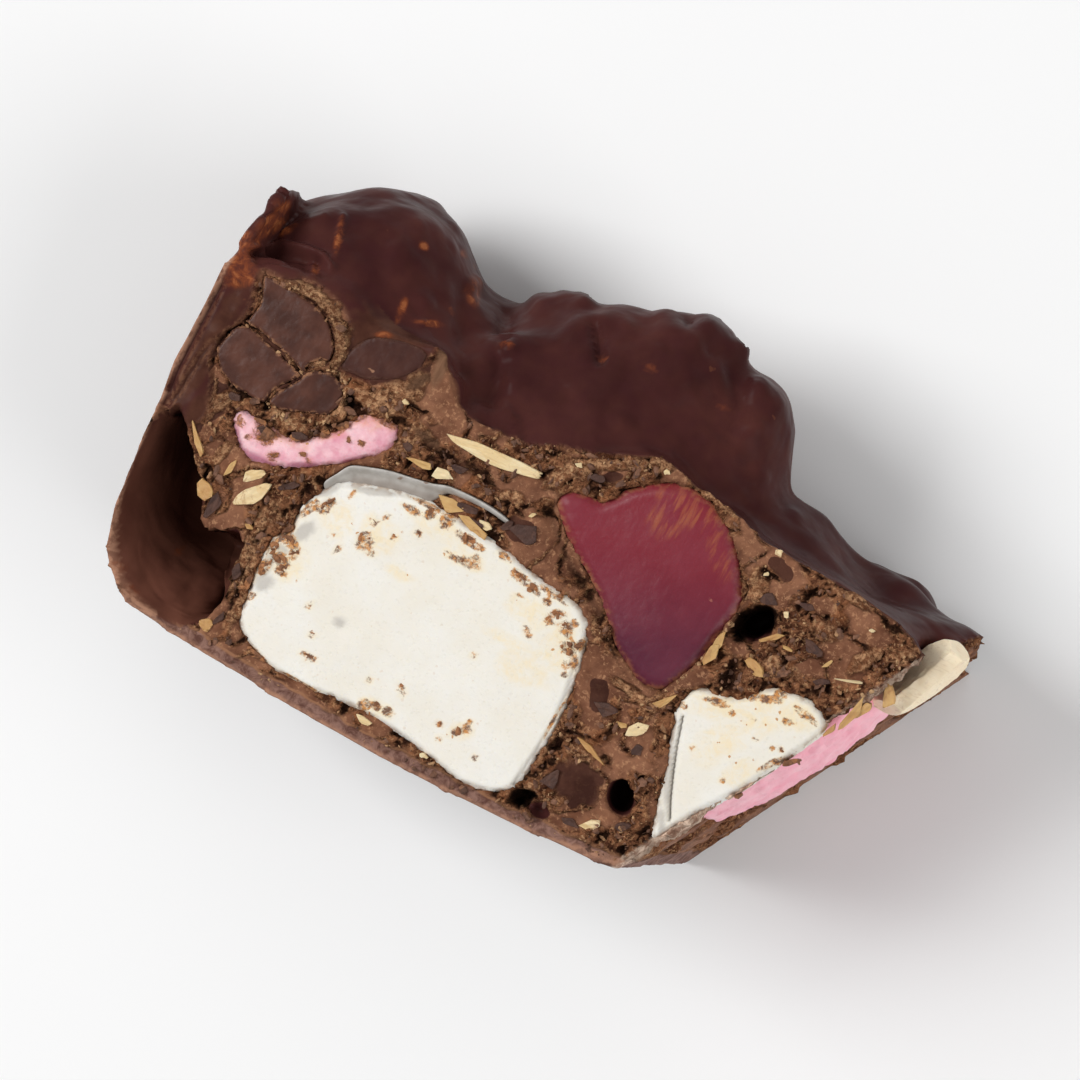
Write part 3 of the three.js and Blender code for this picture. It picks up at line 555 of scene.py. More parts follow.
chocolate = {
    "voxel": 0.5,
    "plugFoot": 2.6,  # the pockets are filled from here up to the face, then opened for the fillings
    "plugGrow": 0.6,
    "settle": 8,  # how often the poured skin is evened out
    "crease": {"above": 24, "from": 12.6, "to": 17, "settle": 24},  # where the skin folds over at the corner
    "hollow": {
        "wallLean": 0.6,  # how far the wall beside it leans in, and between which places that begins
        "wallHeight": (18, 28),
        "wallOut": (30, 35),
        "wallFrom": (-16, -12),
        "wallTo": (-2, 3),
        "from": 12,  # the lowest height that still belongs to it
        "lip": 0.5,  # how far under the face its side begins
        "floor": 14,  # height of its bottom at most
        "slope": (1.25, 4.45),  # at the end away from the lumps, and towards them
        "slopeAlong": (-14.5, -7.5),
        "settle": 14,
    },
    "wells": {  # how far outside and inside of an outline the chocolate gives way, and how deep
        "button_4": (0.0, 0.25, 0.5), "button": (0.06, 0.14, 0.5), "jelly": (0.15, 0.4, 1.5),
        "marshmallow": (0.05, 0.5, 1.5), "film": (0.15, 0.2, 1.1),
    },
    "mould": [  # the side that lay in the mould
        (-36.0, 20.0), (-36.0, 3.0), (-36.3, -3.7), (-36.1, -7.2), (-35.7, -10.1), (-35.0, -12.7),
        (-34.0, -15.2), (-32.4, -17.0), (-30.7, -18.2), (-28.8, -18.7), (-22.6, -19.2), (-14.6, -19.5),
        (-6.0, -19.7), (3.0, -19.5), (12.9, -19.0), (20.2, -17.5),
    ],
    "baseLayer": [(-29.4, -18.6), (-17.8, -19.4), (-5.4, -19.7), (8.0, -19.3), (23.0, -18.2)],
    "bowl": [  # the hollow's side that slopes down from the mould's wall
        (-35.1, -1.8), (-35.6, -5.6), (-35.3, -9.6), (-34.3, -14.2), (-32.2, -17.2), (-29.2, -18.3),
        (-24.6, -18.4),
    ],
    "crest": {"middle": (-35.3, 14.9, 20.2), "half": (0.75, 6.1, 7.9), "lean": -4},
    "folds": [  # ridges and grooves of the poured skin, as the camera sees them: path, width, height
        (
            [(-34.6, 14.9), (-33.2, 15.7), (-31.8, 16.5), (-30.2, 17.0), (-28.4, 17.2), (-27.4, 16.7)],
            0.35, 0.65,
        ),
        ([(-33.4, 14.9), (-31.8, 15.5), (-30.0, 16.0), (-28.8, 15.9)], 0.7, -0.6),
        ([(-34.2, 14.6), (-32.4, 15.6), (-30.6, 16.4), (-28.8, 16.7)], 0.3, -0.7),
        ([(-32.4, 17.3), (-31.2, 18.8), (-30.0, 20.4)], 0.5, 0.4),
        ([(-28.5, 21.2), (-28.1, 19.2), (-27.5, 17.6)], 0.35, 0.4),
        ([(-29.2, 16.6), (-28.4, 15.2)], 0.4, 0.35),
        ([(-35.4, 14.8), (-34.9, 17.0), (-34.2, 20.2)], 0.45, 0.5),
        ([(-34.4, 18.0), (-33.6, 19.2)], 0.5, -0.6), ([(-33.6, 13.9), (-31.8, 14.0)], 0.3, -0.4),
        ([(-15.9, 20.2), (-14.2, 17.0)], 0.9, -0.5), ([(-4.2, 23.4), (-3.2, 22.2), (-2.2, 20.8)], 0.45, -0.8),
        ([(-6.4, 24.4), (-4.6, 20.2)], 1.0, 0.35), ([(-1.6, 24.4), (-1.2, 21.2)], 0.9, 0.35),
        ([(3.2, 27.6), (6.2, 26.4), (8.4, 27.2)], 0.6, -0.5),
        ([(8.2, 25.8), (10.4, 23.4), (11.0, 20.4)], 0.7, -0.5), ([(5.4, 22.6), (9.2, 19.2)], 1.1, 0.4),
        ([(-11.6, 20.6), (-9.8, 15.2), (-8.6, 11.4)], 0.8, -0.6), ([(-6.6, 12.6), (-5.4, 10.8)], 0.35, 0.4),
        ([(14.4, 17.4), (20.0, 15.9), (27.0, 14.6)], 1.0, 0.3),
        ([(17.6, 19.4), (24.6, 17.0), (31.0, 14.2)], 0.7, -0.35),
    ],
    "knobs": [  # nuts under the poured skin, as the camera sees them: x, y, radius, height
        (-10.2, 17.9, 1.2, 0.7), (-7.6, 12.8, 1.3, 0.5), (-11.4, 14.6, 1.9, 0.6), (-15.2, 21.6, 1.2, 0.5),
        (-8.2, 15.6, 1.6, 0.6), (-12.2, 12.6, 1.6, 0.5), (-9.2, 12.2, 1.2, 0.4), (4.6, 27.6, 1.9, 0.7),
        (8.2, 27.4, 1.5, 0.7), (11.2, 25.2, 1.6, 0.7), (12.8, 22.2, 1.3, 0.5), (1.2, 26.6, 1.6, 0.4),
        (-9.4, 22.8, 1.6, 0.5), (-5.9, 25.4, 1.4, 0.5), (14.8, 18.6, 1.4, 0.4), (-22.4, 20.6, 1.8, 0.3),
        (-1.0, 17.0, 2.2, 0.3), (-34.3, 20.2, 0.5, 0.4), (-17.9, 16.2, 0.6, 0.3), (-20.4, 13.6, 0.6, 0.3),
    ],
    "furrows": [  # in the cut face: path, width, depth
        ([(-35.5, 10.5), (-35.5, 6.0), (-35.4, 2.0), (-35.1, -1.2)], 0.3, 0.6),
        ([(-33.2, 6.6), (-33.8, 5.6), (-34.1, 4.2), (-34.3, 2.4), (-34.4, 0.4), (-34.7, -1.0)], 0.22, 0.4),
        (
            [
                (-32.5, 13.6), (-32.2, 11.6), (-32.1, 9.0), (-33.2, 6.6), (-33.3, 5.0), (-32.2, 3.0),
                (-31.2, 0.6),
            ],
            0.2, 0.35,
        ),
        ([(0.0, 6.8), (2.2, 4.7), (4.4, 3.2), (6.4, 2.0), (8.2, 0.9)], 0.8, 1.0),
        ([(9.8, -0.6), (12.0, -2.3), (14.4, -3.2)], 0.3, 0.4),
        ([(-22.9, -4.6), (-23.0, -8.4), (-22.4, -14.6)], 0.3, 0.25),
        ([(-21.6, -4.6), (-21.9, -9.0), (-21.4, -14.6)], 0.25, 0.2),
        ([(-12.4, 7.0), (-8.4, 6.9), (-5.0, 6.6)], 0.5, 0.6),
        ([(28.1, -4.2), (28.8, -3.0), (29.8, -2.2)], 0.35, 1.0),
        ([(10.6, -9.4), (13.2, -9.0), (15.6, -10.6)], 0.25, 0.4),
    ],
    "pits": [  # holes that the cut opened: x, y, half length, half width, turn, depth
        (20.5, 6.9, 2.3, 1.4, 52, 3.0), (9.7, -16.7, 1.2, 0.9, 40, 2.0), (-20.4, 7.0, 0.5, 0.9, 10, 0.8),
        (23.4, -14.7, 0.7, 0.5, 0, 0.8),
    ],
    "ledge": [  # the broken edge of the uppermost button, left standing round it
        (-30.0, 13.5), (-28.6, 13.9), (-26.8, 13.8), (-25.2, 13.1), (-24.0, 12.1), (-23.3, 11.1),
        (-23.0, 10.1), (-23.1, 9.1),
    ],
    "smooth": [  # knife-smooth patches of the cut face
        (10.9, -4.9, 4.6, 2.1, -62), (13.3, -13.2, 2.9, 2.2, 0), (-19.4, 11.6, 4.4, 2.4, 8),
        (-1.3, 4.1, 1.8, 1.5, 0), (29.4, 11.4, 3.2, 1.4, -18), (17.8, -9.0, 1.4, 0.8, 0),
        (20.8, 12.6, 2.6, 1.2, -20), (-26.9, -7.4, 2.2, 0.6, 90), (-11.6, 8.6, 1.4, 0.6, 0),
        (-31.0, -1.6, 0.9, 0.6, 0), (17.0, -14.6, 2.0, 1.0, 20), (3.4, 12.6, 1.6, 0.9, 30),
        (-12.0, -18.0, 4.0, 0.4, 2), (25.2, 11.2, 1.6, 0.9, 20), (-19.0, 8.2, 1.4, 0.6, 20),
        (-12.6, 11.6, 1.5, 3.2, 0), (-33.8, -0.2, 1.6, 0.9, 80), (-31.0, 2.4, 0.8, 0.6, 0),
    ],
    "satin": [  # dark, even chocolate
        (13.4, -13.2, 3.1, 2.5, 0), (-33.9, 4.5, 8.0, 1.3, 88), (-27.5, 9.5, 6.4, 5.4, 0),
        (-31.5, 0.5, 3.4, 1.6, 70), (-19.6, 12.6, 5.2, 3.6, 0), (11.4, -5.2, 1.8, 1.0, -60),
        (20.6, 12.2, 1.6, 0.8, -20), (-1.4, 4.2, 1.8, 1.2, 0), (26.8, 10.2, 1.2, 0.7, 30),
        (3.6, 12.2, 1.2, 0.7, 30),
    ],
    "tan": [  # pale broken crumbs on the cut face
        (-19.8, 8.0, 2.6, 0.7, 26), (-17.4, 9.6, 2.2, 1.0, 40), (-15.8, 11.0, 1.2, 1.8, 0),
        (-24.6, 2.8, 2.4, 0.7, 0), (-30.4, 1.8, 1.8, 0.6, 70), (-28.4, -2.6, 1.6, 0.6, 80),
        (-20.6, -14.2, 2.2, 0.8, 80), (-22.3, -8.6, 3.4, 0.8, 84), (-22.6, -12.8, 2.4, 0.5, 88),
        (-13.4, 7.6, 1.4, 0.8, 0), (3.6, 13.6, 3.8, 0.6, 32), (0.4, 11.4, 1.4, 0.9, 30),
        (19.4, 9.8, 2.2, 0.8, -60), (-0.9, 9.6, 1.6, 0.6, 60), (16.4, -3.4, 1.8, 0.8, 50),
        (24.4, 4.6, 1.9, 0.9, 0), (30.6, 8.6, 2.2, 0.8, 60), (12.6, -10.6, 1.6, 0.6, 0),
        (-31.2, 0.6, 1.6, 0.35, -70), (8.6, -0.4, 1.6, 0.4, -46), (-3.6, 6.4, 1.6, 0.7, 10),
        (26.6, 9.4, 1.6, 0.8, 0), (9.9, -15.6, 1.4, 0.6, 60), (-24.6, 8.8, 1.0, 0.5, 30),
        (-27.8, 14.0, 1.6, 0.5, -6), (-25.4, 13.4, 1.5, 0.6, -30), (-23.4, 11.6, 1.6, 0.6, -62),
        (-23.2, 9.6, 1.0, 0.45, 80), (-30.4, 13.5, 1.6, 0.3, 0), (-26.8, 8.0, 1.0, 0.35, -18),
        (9.4, -11.0, 3.0, 0.35, 88), (-21.0, 7.0, 0.9, 0.5, 70), (-29.6, -5.0, 1.2, 0.5, -55),
        (-33.6, -1.5, 1.3, 0.4, -24), (27.2, 13.0, 2.6, 0.5, -4), (33.6, 10.6, 1.6, 0.6, 60),
        (6.8, 15.4, 1.4, 0.6, 0), (11.8, 15.0, 3.0, 0.35, -10), (14.0, -3.6, 2.6, 0.5, -4),
        (-17.6, 7.9, 2.4, 0.9, 8), (-20.6, 6.2, 0.6, 1.4, -20), (-14.2, 6.0, 1.2, 0.7, 60),
        (-31.5, 1.9, 1.5, 0.22, -66), (-26.9, 4.0, 0.9, 0.22, 86), (-22.6, 8.6, 1.8, 0.25, 0),
        (-29.0, 13.6, 1.6, 0.3, 10), (-21.8, 5.4, 0.7, 0.3, 30), (-22.2, -6.0, 2.2, 1.0, 80),
        (-21.8, -11.0, 2.4, 0.8, 84), (21.6, -16.4, 1.4, 0.7, 50),
    ],
    "torn": [  # where a neighbour tore off
        (-14.6, 13.9, 2.9, 0.7, 97), (-15.7, 11.4, 1.4, 0.6, 62), (-12.6, 7.4, 1.6, 0.5, -8),
    ],
    "orange": [  # where the poured skin is thin over what is under it
        (-34.0, 17.3, 2.0, 0.8, 66), (-34.7, 15.2, 0.9, 0.5, 60), (-34.8, 13.0, 2.4, 1.2, 84),
        (-35.2, 14.8, 1.4, 0.4, 80), (-33.8, 12.2, 1.5, 0.8, 50), (-33.8, 19.4, 1.0, 0.5, 50),
        (-28.0, 19.3, 2.0, 0.35, 108), (-32.2, 17.6, 1.1, 0.35, 54), (-28.6, 15.9, 0.9, 0.35, 112),
        (-20.4, 13.6, 0.9, 0.4, 24), (-17.3, 16.4, 1.5, 0.35, 20), (-16.0, 18.4, 0.5, 0.3, -20),
        (-15.0, 21.0, 1.6, 0.7, 116), (-20.9, 22.2, 0.5, 0.4, 0), (-10.3, 18.1, 0.7, 0.4, -10),
        (-17.3, 23.5, 0.5, 0.4, 0), (-2.2, 21.0, 0.4, 0.3, 0), (2.0, 22.4, 0.5, 0.4, 0),
        (9.4, 22.4, 0.4, 0.3, 0), (-20.0, 16.4, 0.4, 1.4, 8), (-32.4, -16.2, 1.1, 0.5, 20),
        (-29.8, -17.4, 1.0, 0.35, -6), (-27.8, -12.1, 0.5, 0.35, 40),
    ],
    "endBand": 3.2,  # how far the pale layer reaches down the end
    "pitFade": (22, 27),  # heights between which the holes open
    "rimFade": (26.8, 27.3),  # and between which the mould side's pale edge begins
}
chocolateLayers = (
    "cut", "deepShade", "dust", "crumbly", "tan", "orange", "satin", "base", "rim", "mould", "recessShade", "hollow",
    "torn", "endBand",
)


def endShare(point):  # how surely a point lies on the oblique cut at the end
    return ramp(endOut.dot(point - plan["endTo"]), *plan["onEnd"])


def onCut(point):  # how surely a point lies on a cut: the shown face, the underside or the end
    return max(ramp(point.z, *plan["onFace"]), ramp(-point.z, *plan["onFoot"]), endShare(point))


def chocolateShape():
    bm = nodeShape("chocolate")
    for name in outlines:
        filling = nodeShape(name)
        grow(filling, chocolate["plugGrow"])
        keepBetween(filling, chocolate["plugFoot"], plan["face"])
        append(bm, filling)
    crest = chocolate["crest"]
    flake = bmesh.ops.create_icosphere(bm, subdivisions=3, radius=1)["verts"]
    bmesh.ops.scale(bm, vec=crest["half"], verts=flake)
    bmesh.ops.rotate(bm, matrix=Matrix.Rotation(math.radians(crest["lean"]), 3, "Z"), verts=flake)
    bmesh.ops.translate(bm, vec=crest["middle"], verts=flake)
    return remeshed(bm, chocolate["voxel"])


def openHollow(bm):  # leans the mould's thin wall in, and slopes the hollow's side down from it
    hollow = chocolate["hollow"]
    least, most = hollow["slope"]
    for vert in bm.verts:
        beside = ramp(vert.co.y, *hollow["wallFrom"]) * (1 - ramp(vert.co.y, *hollow["wallTo"]))
        beside *= ramp(vert.co.z, *hollow["wallHeight"])
        vert.co.x += hollow["wallLean"] * beside * ramp(-vert.co.x, *hollow["wallOut"])
    moved = []
    for vert in bm.verts:
        point = vert.co
        if point.z > hollow["from"] and depths["mouth"](point) > 0:
            slope = least + (most - least) * ramp(point.y, *hollow["slopeAlong"])
            down = slope * lineDistance(point, chocolate["bowl"]) + 0.25 * noise.noise(point / 2.0)
            vert.co.z = max(hollow["floor"], plan["face"] - hollow["lip"] - down)
            moved.append(vert)
    smoothOut(bm, moved, hollow["settle"])


def crumbliness(point):  # 0 where the knife ran smooth, 1 where the chocolate broke up
    warp = Vector((noise.noise(point / 2.0), noise.noise(point / 2.0 + Vector((7, 0, 0))), 0)) * 0.5
    veins = 1 - ramp(abs(noise.noise(point / 3.4 + warp)), 0.02, 0.16)
    patches = ramp(noise.noise(point / 4.5 + Vector((20, 0, 0))), -0.12, 0.16)
    return max(0.9 * veins, patches) * (1 - spotShare(point, chocolate["smooth"]))


def skinRelief(point, seen, facing):  # the poured skin: slow waves, nuts under it, folds
    height = 0.28 * noise.noise(point / 6.0) + 0.13 * noise.noise(point / 2.2 + Vector((9, 0, 0)))
    distances, centres = noise.voronoi(point / 3.6)
    if noise.cell(centres[0] * 5.7) > 0.45:
        height += 0.35 * (1 - ramp(distances[0], 0.0, 0.45))
    if facing < 0.05:
        return height
    for x, y, radius, rise in chocolate["knobs"]:
        off = math.hypot(seen.x - x, seen.y - y) / radius
        if off < 1:
            height += rise * (1 - off * off) ** 2
    for path, width, rise in chocolate["folds"]:
        height += rise * swell(seen, path, width, 3) * ramp(facing, 0.05, 0.35)
    return height


def cutRelief(point, crumbly, tan):  # broken crumbs where it crumbled, drag marks where the knife ran smooth
    broken = 0.38 * crumbLevel(point, 1.6) + 0.32 * crumbLevel(point + Vector((3, 7, 1)), 0.8)
    holes = ramp(noise.noise(point / 1.2 + Vector((0, 30, 0))), 0.3, 0.55)
    broken += 0.26 * noise.noise(point / 0.45) - 0.5 * holes
    slow = 0.10 * noise.noise(point / 3.0)
    drag = 0.03 * noise.noise(Vector((point.x * 0.5 + point.y * 2.6, point.y * 0.3, point.z)))
    return slow + drag + crumbly * broken * (1 - 0.5 * tan) + 0.12 * tan


def wellDepth(point):  # how far the chocolate gives way to the fillings at the shown face
    sink = 0
    for name in [*outlines, "film"]:
        inside = depths[name](point)
        if inside > -0.9:
            if "button" not in name and name != "film":  # the chocolate laps over the edge here and there
                inside += 0.34 * noise.noise(point / 0.9) + 0.16 * noise.noise(point / 0.35)
            before, after, deep = next(chocolate["wells"][key] for key in chocolate["wells"] if key in name)
            sink = max(sink, deep * ramp(inside, -before, after))
    return sink


def ledgeShare(point):  # how surely a point lies on the ledge, with a ragged outer side
    off = lineDistance(point, chocolate["ledge"]) + 0.3 * noise.noise(point / 0.8)
    return 1 - ramp(off, 0.35, 0.7) if point.y > 8.8 and point.x < -22 else 0


def cutFields(point):  # what shows at a place of a cut
    base = 1 - ramp(lineDistance(point, chocolate["baseLayer"]) - 0.3 * noise.noise(point / 1.2), 1.1, 1.6)
    tan = max(spotShare(point, chocolate["tan"]), ledgeShare(point)) if point.z > plan["traced"] else 0
    crumbly = max(crumbliness(point) * (1 - 0.8 * base), tan)
    torn = spotShare(point, chocolate["torn"]) if point.z > plan["traced"] else 0
    down = (plan["face"] - point.z + 0.8 * noise.noise(point / 2.2)) / chocolate["endBand"]
    endBand = endShare(point) * (1 - ramp(down, 0.7, 1.1))
    return {"base": base, "tan": tan, "crumbly": crumbly, "torn": torn, "endBand": endBand}


def pitDepth(point):
    return max(spotShare(point, [spot]) * deep for *spot, deep in chocolate["pits"])


def addFurrows(vert, point, values):  # grooves in the cut face, with crumbs beside them
    values["dust"] = 0
    for path, width, deep in chocolate["furrows"]:
        off = lineDistance(point, path) / width
        values["dust"] = max(values["dust"], 0.4 * math.exp(-((2 * off - 2.6) ** 2)))
        if off < 2.5:
            vert.co.z -= deep * math.exp(-off * off)
            # painted shade: the groove is coloured darker as well
            values["recessShade"] *= 1 - 0.8 * math.exp(-off * off)


def dressPlace(vert):  # moves one place of the chocolate, and gives what shows there
    point, facing = vert.co.copy(), vert.normal.z
    seen = seenAt(point)
    upper = point.z > plan["traced"]
    glossy = ramp(depths["glossy"](point), -0.4, 0.5) if upper and point.x < -12 else 0
    inside = chocolate["hollow"]["from"] < point.z < plan["face"] - 0.1
    hollow = ramp(depths["mouth"](point), 0.0, 0.4) if inside else 0
    cut = onCut(point) * (1 - glossy) * (1 - hollow)
    values = cutFields(point) if cut > 0.02 else {}
    edge = lineDistance(point, chocolate["mould"])
    mould = 0 if point.y > 9 or edge > 1.4 or onCut(point) > 0.5 or hollow > 0 else 1
    if hollow > 0:
        height = 0.12 * noise.noise(point / 1.5)
    elif cut > 0.5:
        height = cutRelief(point, values["crumbly"], values["tan"]) * (1 if upper else 1.2)
        height += 0.4 * ledgeShare(point) if upper else 0
    else:
        height = skinRelief(point, seen, facing) * (0.12 if mould else 0.4 if onCut(point) > 0.5 else 1)
    height *= 1 if point.z > 1 else 0.25 * ramp(point.z, 0.2, 1.0)
    # painted shade: the lower the relief lies, the darker the colour
    values["recessShade"] = ramp(height, -0.42, 0.22)
    opened = pitDepth(point) if point.z > chocolate["pitFade"][0] else 0
    vert.co.z -= opened * ramp(point.z, *chocolate["pitFade"])
    vert.co += vert.normal * height
    if point.z > plan["nearFace"]:
        addFurrows(vert, point, values)
        sink = wellDepth(point)
        vert.co.z -= sink
        # painted shade: where the chocolate gives way to a filling, its colour darkens
        values["recessShade"] *= 1 - min(1, sink)
    vert.co.z = max(vert.co.z, plan["least"])
    thin = facing > 0 and (seen.y > 10 or hollow > 0) and cut < 0.5
    values["orange"] = spotShare(seen, chocolate["orange"]) * ramp(point.z, 13, 17) if thin else 0
    values["satin"] = spotShare(point, chocolate["satin"]) if point.z > 26 else 0
    wider = 0.4 if point.x < -27 and point.y < 0 else 0  # on the thin wall beside the hollow
    low, high = chocolate["rimFade"]
    values["rim"] = (1 - ramp(edge - wider, 0.25, 0.55)) * ramp(point.z, low - wider, high - wider)
    within = upper and point.y < 10 and edge > 1.5 and glossy < 0.5 and hollow == 0
    within = within and endShare(point) < 0.1
    # painted shade: holes and places lower than 26.9 mm on the face are coloured nearly black
    values["deepShade"] = max(ramp(26.9 - point.z, 0, 0.6), ramp(opened, 0.1, 0.5)) if within else 0
    values.update({"cut": cut, "mould": mould, "hollow": hollow})
    return values


def dressChocolate(bm):
    layers = {name: bm.verts.layers.float.new(name) for name in chocolateLayers}
    for vert in bm.verts:
        for name, value in dressPlace(vert).items():
            vert[layers[name]] = value


def skinColour(tree, spot):  # the poured skin, also inside the hollow and on the mould's side
    slow, quick = mottled(tree, spot, 7.0, 0.22), mottled(tree, spot, 1.6, 0.3)
    flecked = spread(tree, noiseAt(tree, spot, 1.8, 4.0, 0.72), 0.42, 0.56)
    fibres = spread(tree, noiseAt(tree, spot, 0.9, 4.0, 0.6, 0.5), 0.36, 0.62, 0.15, 0.85)
    thin = times(tree, attribute(tree, "orange"), fibres)
    return coated(
        tree, mixed(tree, slow, tone(60, 31, 29), tone(80, 44, 39)),
        # purplish patches, partly the chocolate's own tone and partly a painted sheen
        (times(tree, quick, 0.3), tone(60, 26, 34)),
        (times(tree, specks(tree, spot, 2.4, 0.14, 0.14), 0.5), tone(110, 66, 48)),
        (attribute(tree, "satin"), mixed(tree, quick, tone(64, 37, 30), tone(88, 55, 43))),
        (times(tree, attribute(tree, "dust"), flecked), tone(150, 106, 78)),
        # painted light: inside the hollow the skin is coloured lighter, against the shade that falls there
        (attribute(tree, "hollow"), mixed(tree, slow, tone(88, 52, 42), tone(112, 70, 56))),
        (thin, tone(138, 72, 42)),
        (spread(tree, thin, 0.6, 0.9, 0.0, 0.25), tone(186, 124, 80)),
        (attribute(tree, "mould"), mixed(tree, slow, tone(54, 28, 25), tone(68, 38, 33))),
    )


def brokenNoise(tree, spot):  # coarse and fine fractal patterns of broken chocolate
    return noiseAt(tree, spot, 0.75, 6.0, 0.74, 0.7), noiseAt(tree, spot, 2.3, 4.0, 0.7, 0.4)


def faceColour(tree, spot, crumbly):  # the cut faces
    recessShade, base = attribute(tree, "recessShade"), attribute(tree, "base")
    broken, grit = brokenNoise(tree, spot)
    patch = mottled(tree, spot, 2.4, 0.16)
    smoothCut = mixed(tree, patch, tone(100, 64, 48), tone(138, 95, 72))
    smoothCut = mixed(tree, spread(tree, grit, 0.52, 0.68, 0.0, 0.75), smoothCut, tone(176, 130, 98))

    pits, warm = noiseAt(tree, spot, 1.35, 4.0, 0.68, 1.2), noiseAt(tree, spot, 0.34, 5.0, 0.6, 0.6)
    pale = placed(tree, speckle, Vector=spot, Spacing=0.9, Share=0.2, Radius=0.2)
    paleTone = mixed(tree, pale["Random"], tone(160, 116, 80), tone(212, 178, 134))
    tan = times(tree, attribute(tree, "tan"), spread(tree, broken, 0.38, 0.6, 0.2, 0.95))
    tanTone = mixed(tree, spread(tree, grit, 0.4, 0.6), tone(138, 90, 62), tone(216, 166, 124))
    rough = coated(
        tree, mixed(tree, spread(tree, broken, 0.40, 0.60), tone(88, 53, 38), tone(166, 113, 80)),
        (spread(tree, grit, 0.52, 0.65, 0.0, 0.8), tone(210, 158, 114)),
        # painted shade: dark spots that stand for the shade in tiny pits
        (spread(tree, pits, 0.55, 0.66, 0.0, 0.85), tone(36, 20, 14)),
        (spread(tree, warm, 0.52, 0.68, 0.0, 0.5), tone(156, 96, 60)),
        (times(tree, pale["Mask"], 0.75), paleTone),
        (tan, tanTone),
        # painted shade in the low places of the broken face
        (spread(tree, recessShade, 0.0, 0.5, 0.7, 0.0), tone(40, 22, 16)),
    )

    uneven = calc(tree, "SUBTRACT", broken, 0.5)
    roughShare = spread(tree, plus(tree, crumbly, uneven), 0.2, 0.7, 0.12, 1.0)
    satinEdge = plus(tree, attribute(tree, "satin"), times(tree, uneven, 0.6))
    satin = times(tree, spread(tree, satinEdge, 0.40, 0.52), spread(tree, crumbly, 0.1, 0.7, 0.92, 0.25))
    streaks = noiseAt(tree, spot, 0.9, 5.0, 0.7, 1.2)
    baseTone = mixed(tree, spread(tree, streaks, 0.35, 0.65), tone(92, 62, 55), tone(146, 112, 100))
    border = times(tree, spread(tree, base, 0.05, 0.35), spread(tree, base, 0.55, 0.9, 1.0, 0.0))
    bandTone = mixed(tree, spread(tree, streaks, 0.38, 0.62), tone(164, 128, 108), tone(230, 204, 182))
    fibres = noiseAt(tree, drawnOut(tree, spot, (2.4, 0.35, 1.0)), 1.2, 5.0, 0.6, 0.3)
    return coated(
        tree, mixed(tree, roughShare, smoothCut, rough),
        (satin, mixed(tree, patch, tone(54, 30, 25), tone(74, 45, 37))),
        # painted shade in the low places, grooves and gaps of the cut face
        (spread(tree, recessShade, 0.0, 0.3, 0.75, 0.0), tone(36, 19, 14)),
        (times(tree, base, 0.9), baseTone),
        (times(tree, border, 0.7), tone(154, 110, 80)),
        (times(tree, attribute(tree, "endBand"), 0.9), bandTone),
        (attribute(tree, "torn"), mixed(tree, fibres, tone(78, 52, 40), tone(144, 106, 80))),
    )


def chocolateMaterial():
    material, tree, shader, spot = newMaterial("cutAndPouredChocolate")
    cut, crumbly = attribute(tree, "cut"), attribute(tree, "crumbly")
    ragged = spread(tree, mottled(tree, spot, 0.8, 0.2), 0.1, 0.8, 0.35, 0.95)
    colour = coated(
        tree, mixed(tree, cut, skinColour(tree, spot), faceColour(tree, spot, crumbly)),
        (times(tree, attribute(tree, "rim"), ragged), tone(172, 128, 104)),
        # painted shade: holes and deep places nearly black
        (times(tree, attribute(tree, "deepShade"), 0.95), tone(18, 10, 8)),
    )
    skinRough = mixed(tree, mottled(tree, spot, 7.0, 0.22), evenGrey(0.28), evenGrey(0.38))
    rough = mixed(tree, cut, skinRough, mixed(tree, crumbly, evenGrey(0.48), evenGrey(0.8)))
    broken, grit = brokenNoise(tree, spot)
    crumbs = placed(tree, crumbGrain, Vector=spot, Size=0.3, Height=0.12)["Height"]
    crumbs = plus(tree, crumbs, plus(tree, times(tree, broken, 0.9), times(tree, grit, 0.3)))
    grain = times(tree, crumbs, times(tree, cut, spread(tree, crumbly, 0.0, 1.0, 0.12, 1.0)))
    dented = times(tree, noiseAt(tree, spot, 0.3, 1.0, 0.4, 0.2), 0.6)
    ripples = plus(tree, dented, times(tree, noiseAt(tree, spot, 0.8, 1.0, 0.4), 0.08))
    ripples = times(tree, ripples, spread(tree, cut, 0.0, 1.0, 1.0, 0.1))
    shader.inputs["Specular IOR Level"].default_value = 0.03
    finishLook(tree, shader, colour, rough, plus(tree, grain, ripples), 1.0)
    return material


def nearFace(face):
    return face.normal.z > 0.5 and min(vert.co.z for vert in face.verts) > plan["nearFace"]


def byTheCrest(face):  # the upper side of the skin in the left corner
    middle = face.calc_center_median()
    return face.normal.z > 0.1 and middle.x < -13 and middle.y > 12


def inCrease(point):
    crease = chocolate["crease"]
    along = crease["from"] < point.y < crease["to"]
    return point.z > crease["above"] and along and depths["glossy"](point) > 0.3


body = chocolateShape()
say(f"chocolate remeshed: {len(body.faces)} faces")
smoothOut(body, [vert for vert in body.verts if onCut(vert.co) < 0.02], chocolate["settle"])
smoothOut(body, [vert for vert in body.verts if inCrease(vert.co)], chocolate["crease"]["settle"])
openHollow(body)
refine(body, lambda face: nearFace(face) or byTheCrest(face))
dressChocolate(body)
body.normal_update()
crumblyLayer = body.verts.layers.float["crumbly"]
makeGritty(body, lambda face: min(vert[crumblyLayer] for vert in face.verts) > 0.5)
bodyTree = BVHTree.FromBMesh(body)
finishPiece("chocolateBody", body, chocolateMaterial(), "chocolate", "chocolate")


def faceAt(x, y):  # the height of the chocolate's cut face at a place, or None over a filling or a hole
    hit = bodyTree.ray_cast(Vector((x, y, plan["face"] + 4)), Vector((0, 0, -1)))[0]
    return hit.z if hit and hit.z > plan["face"] - 1 else None


# Fillings that the knife cut

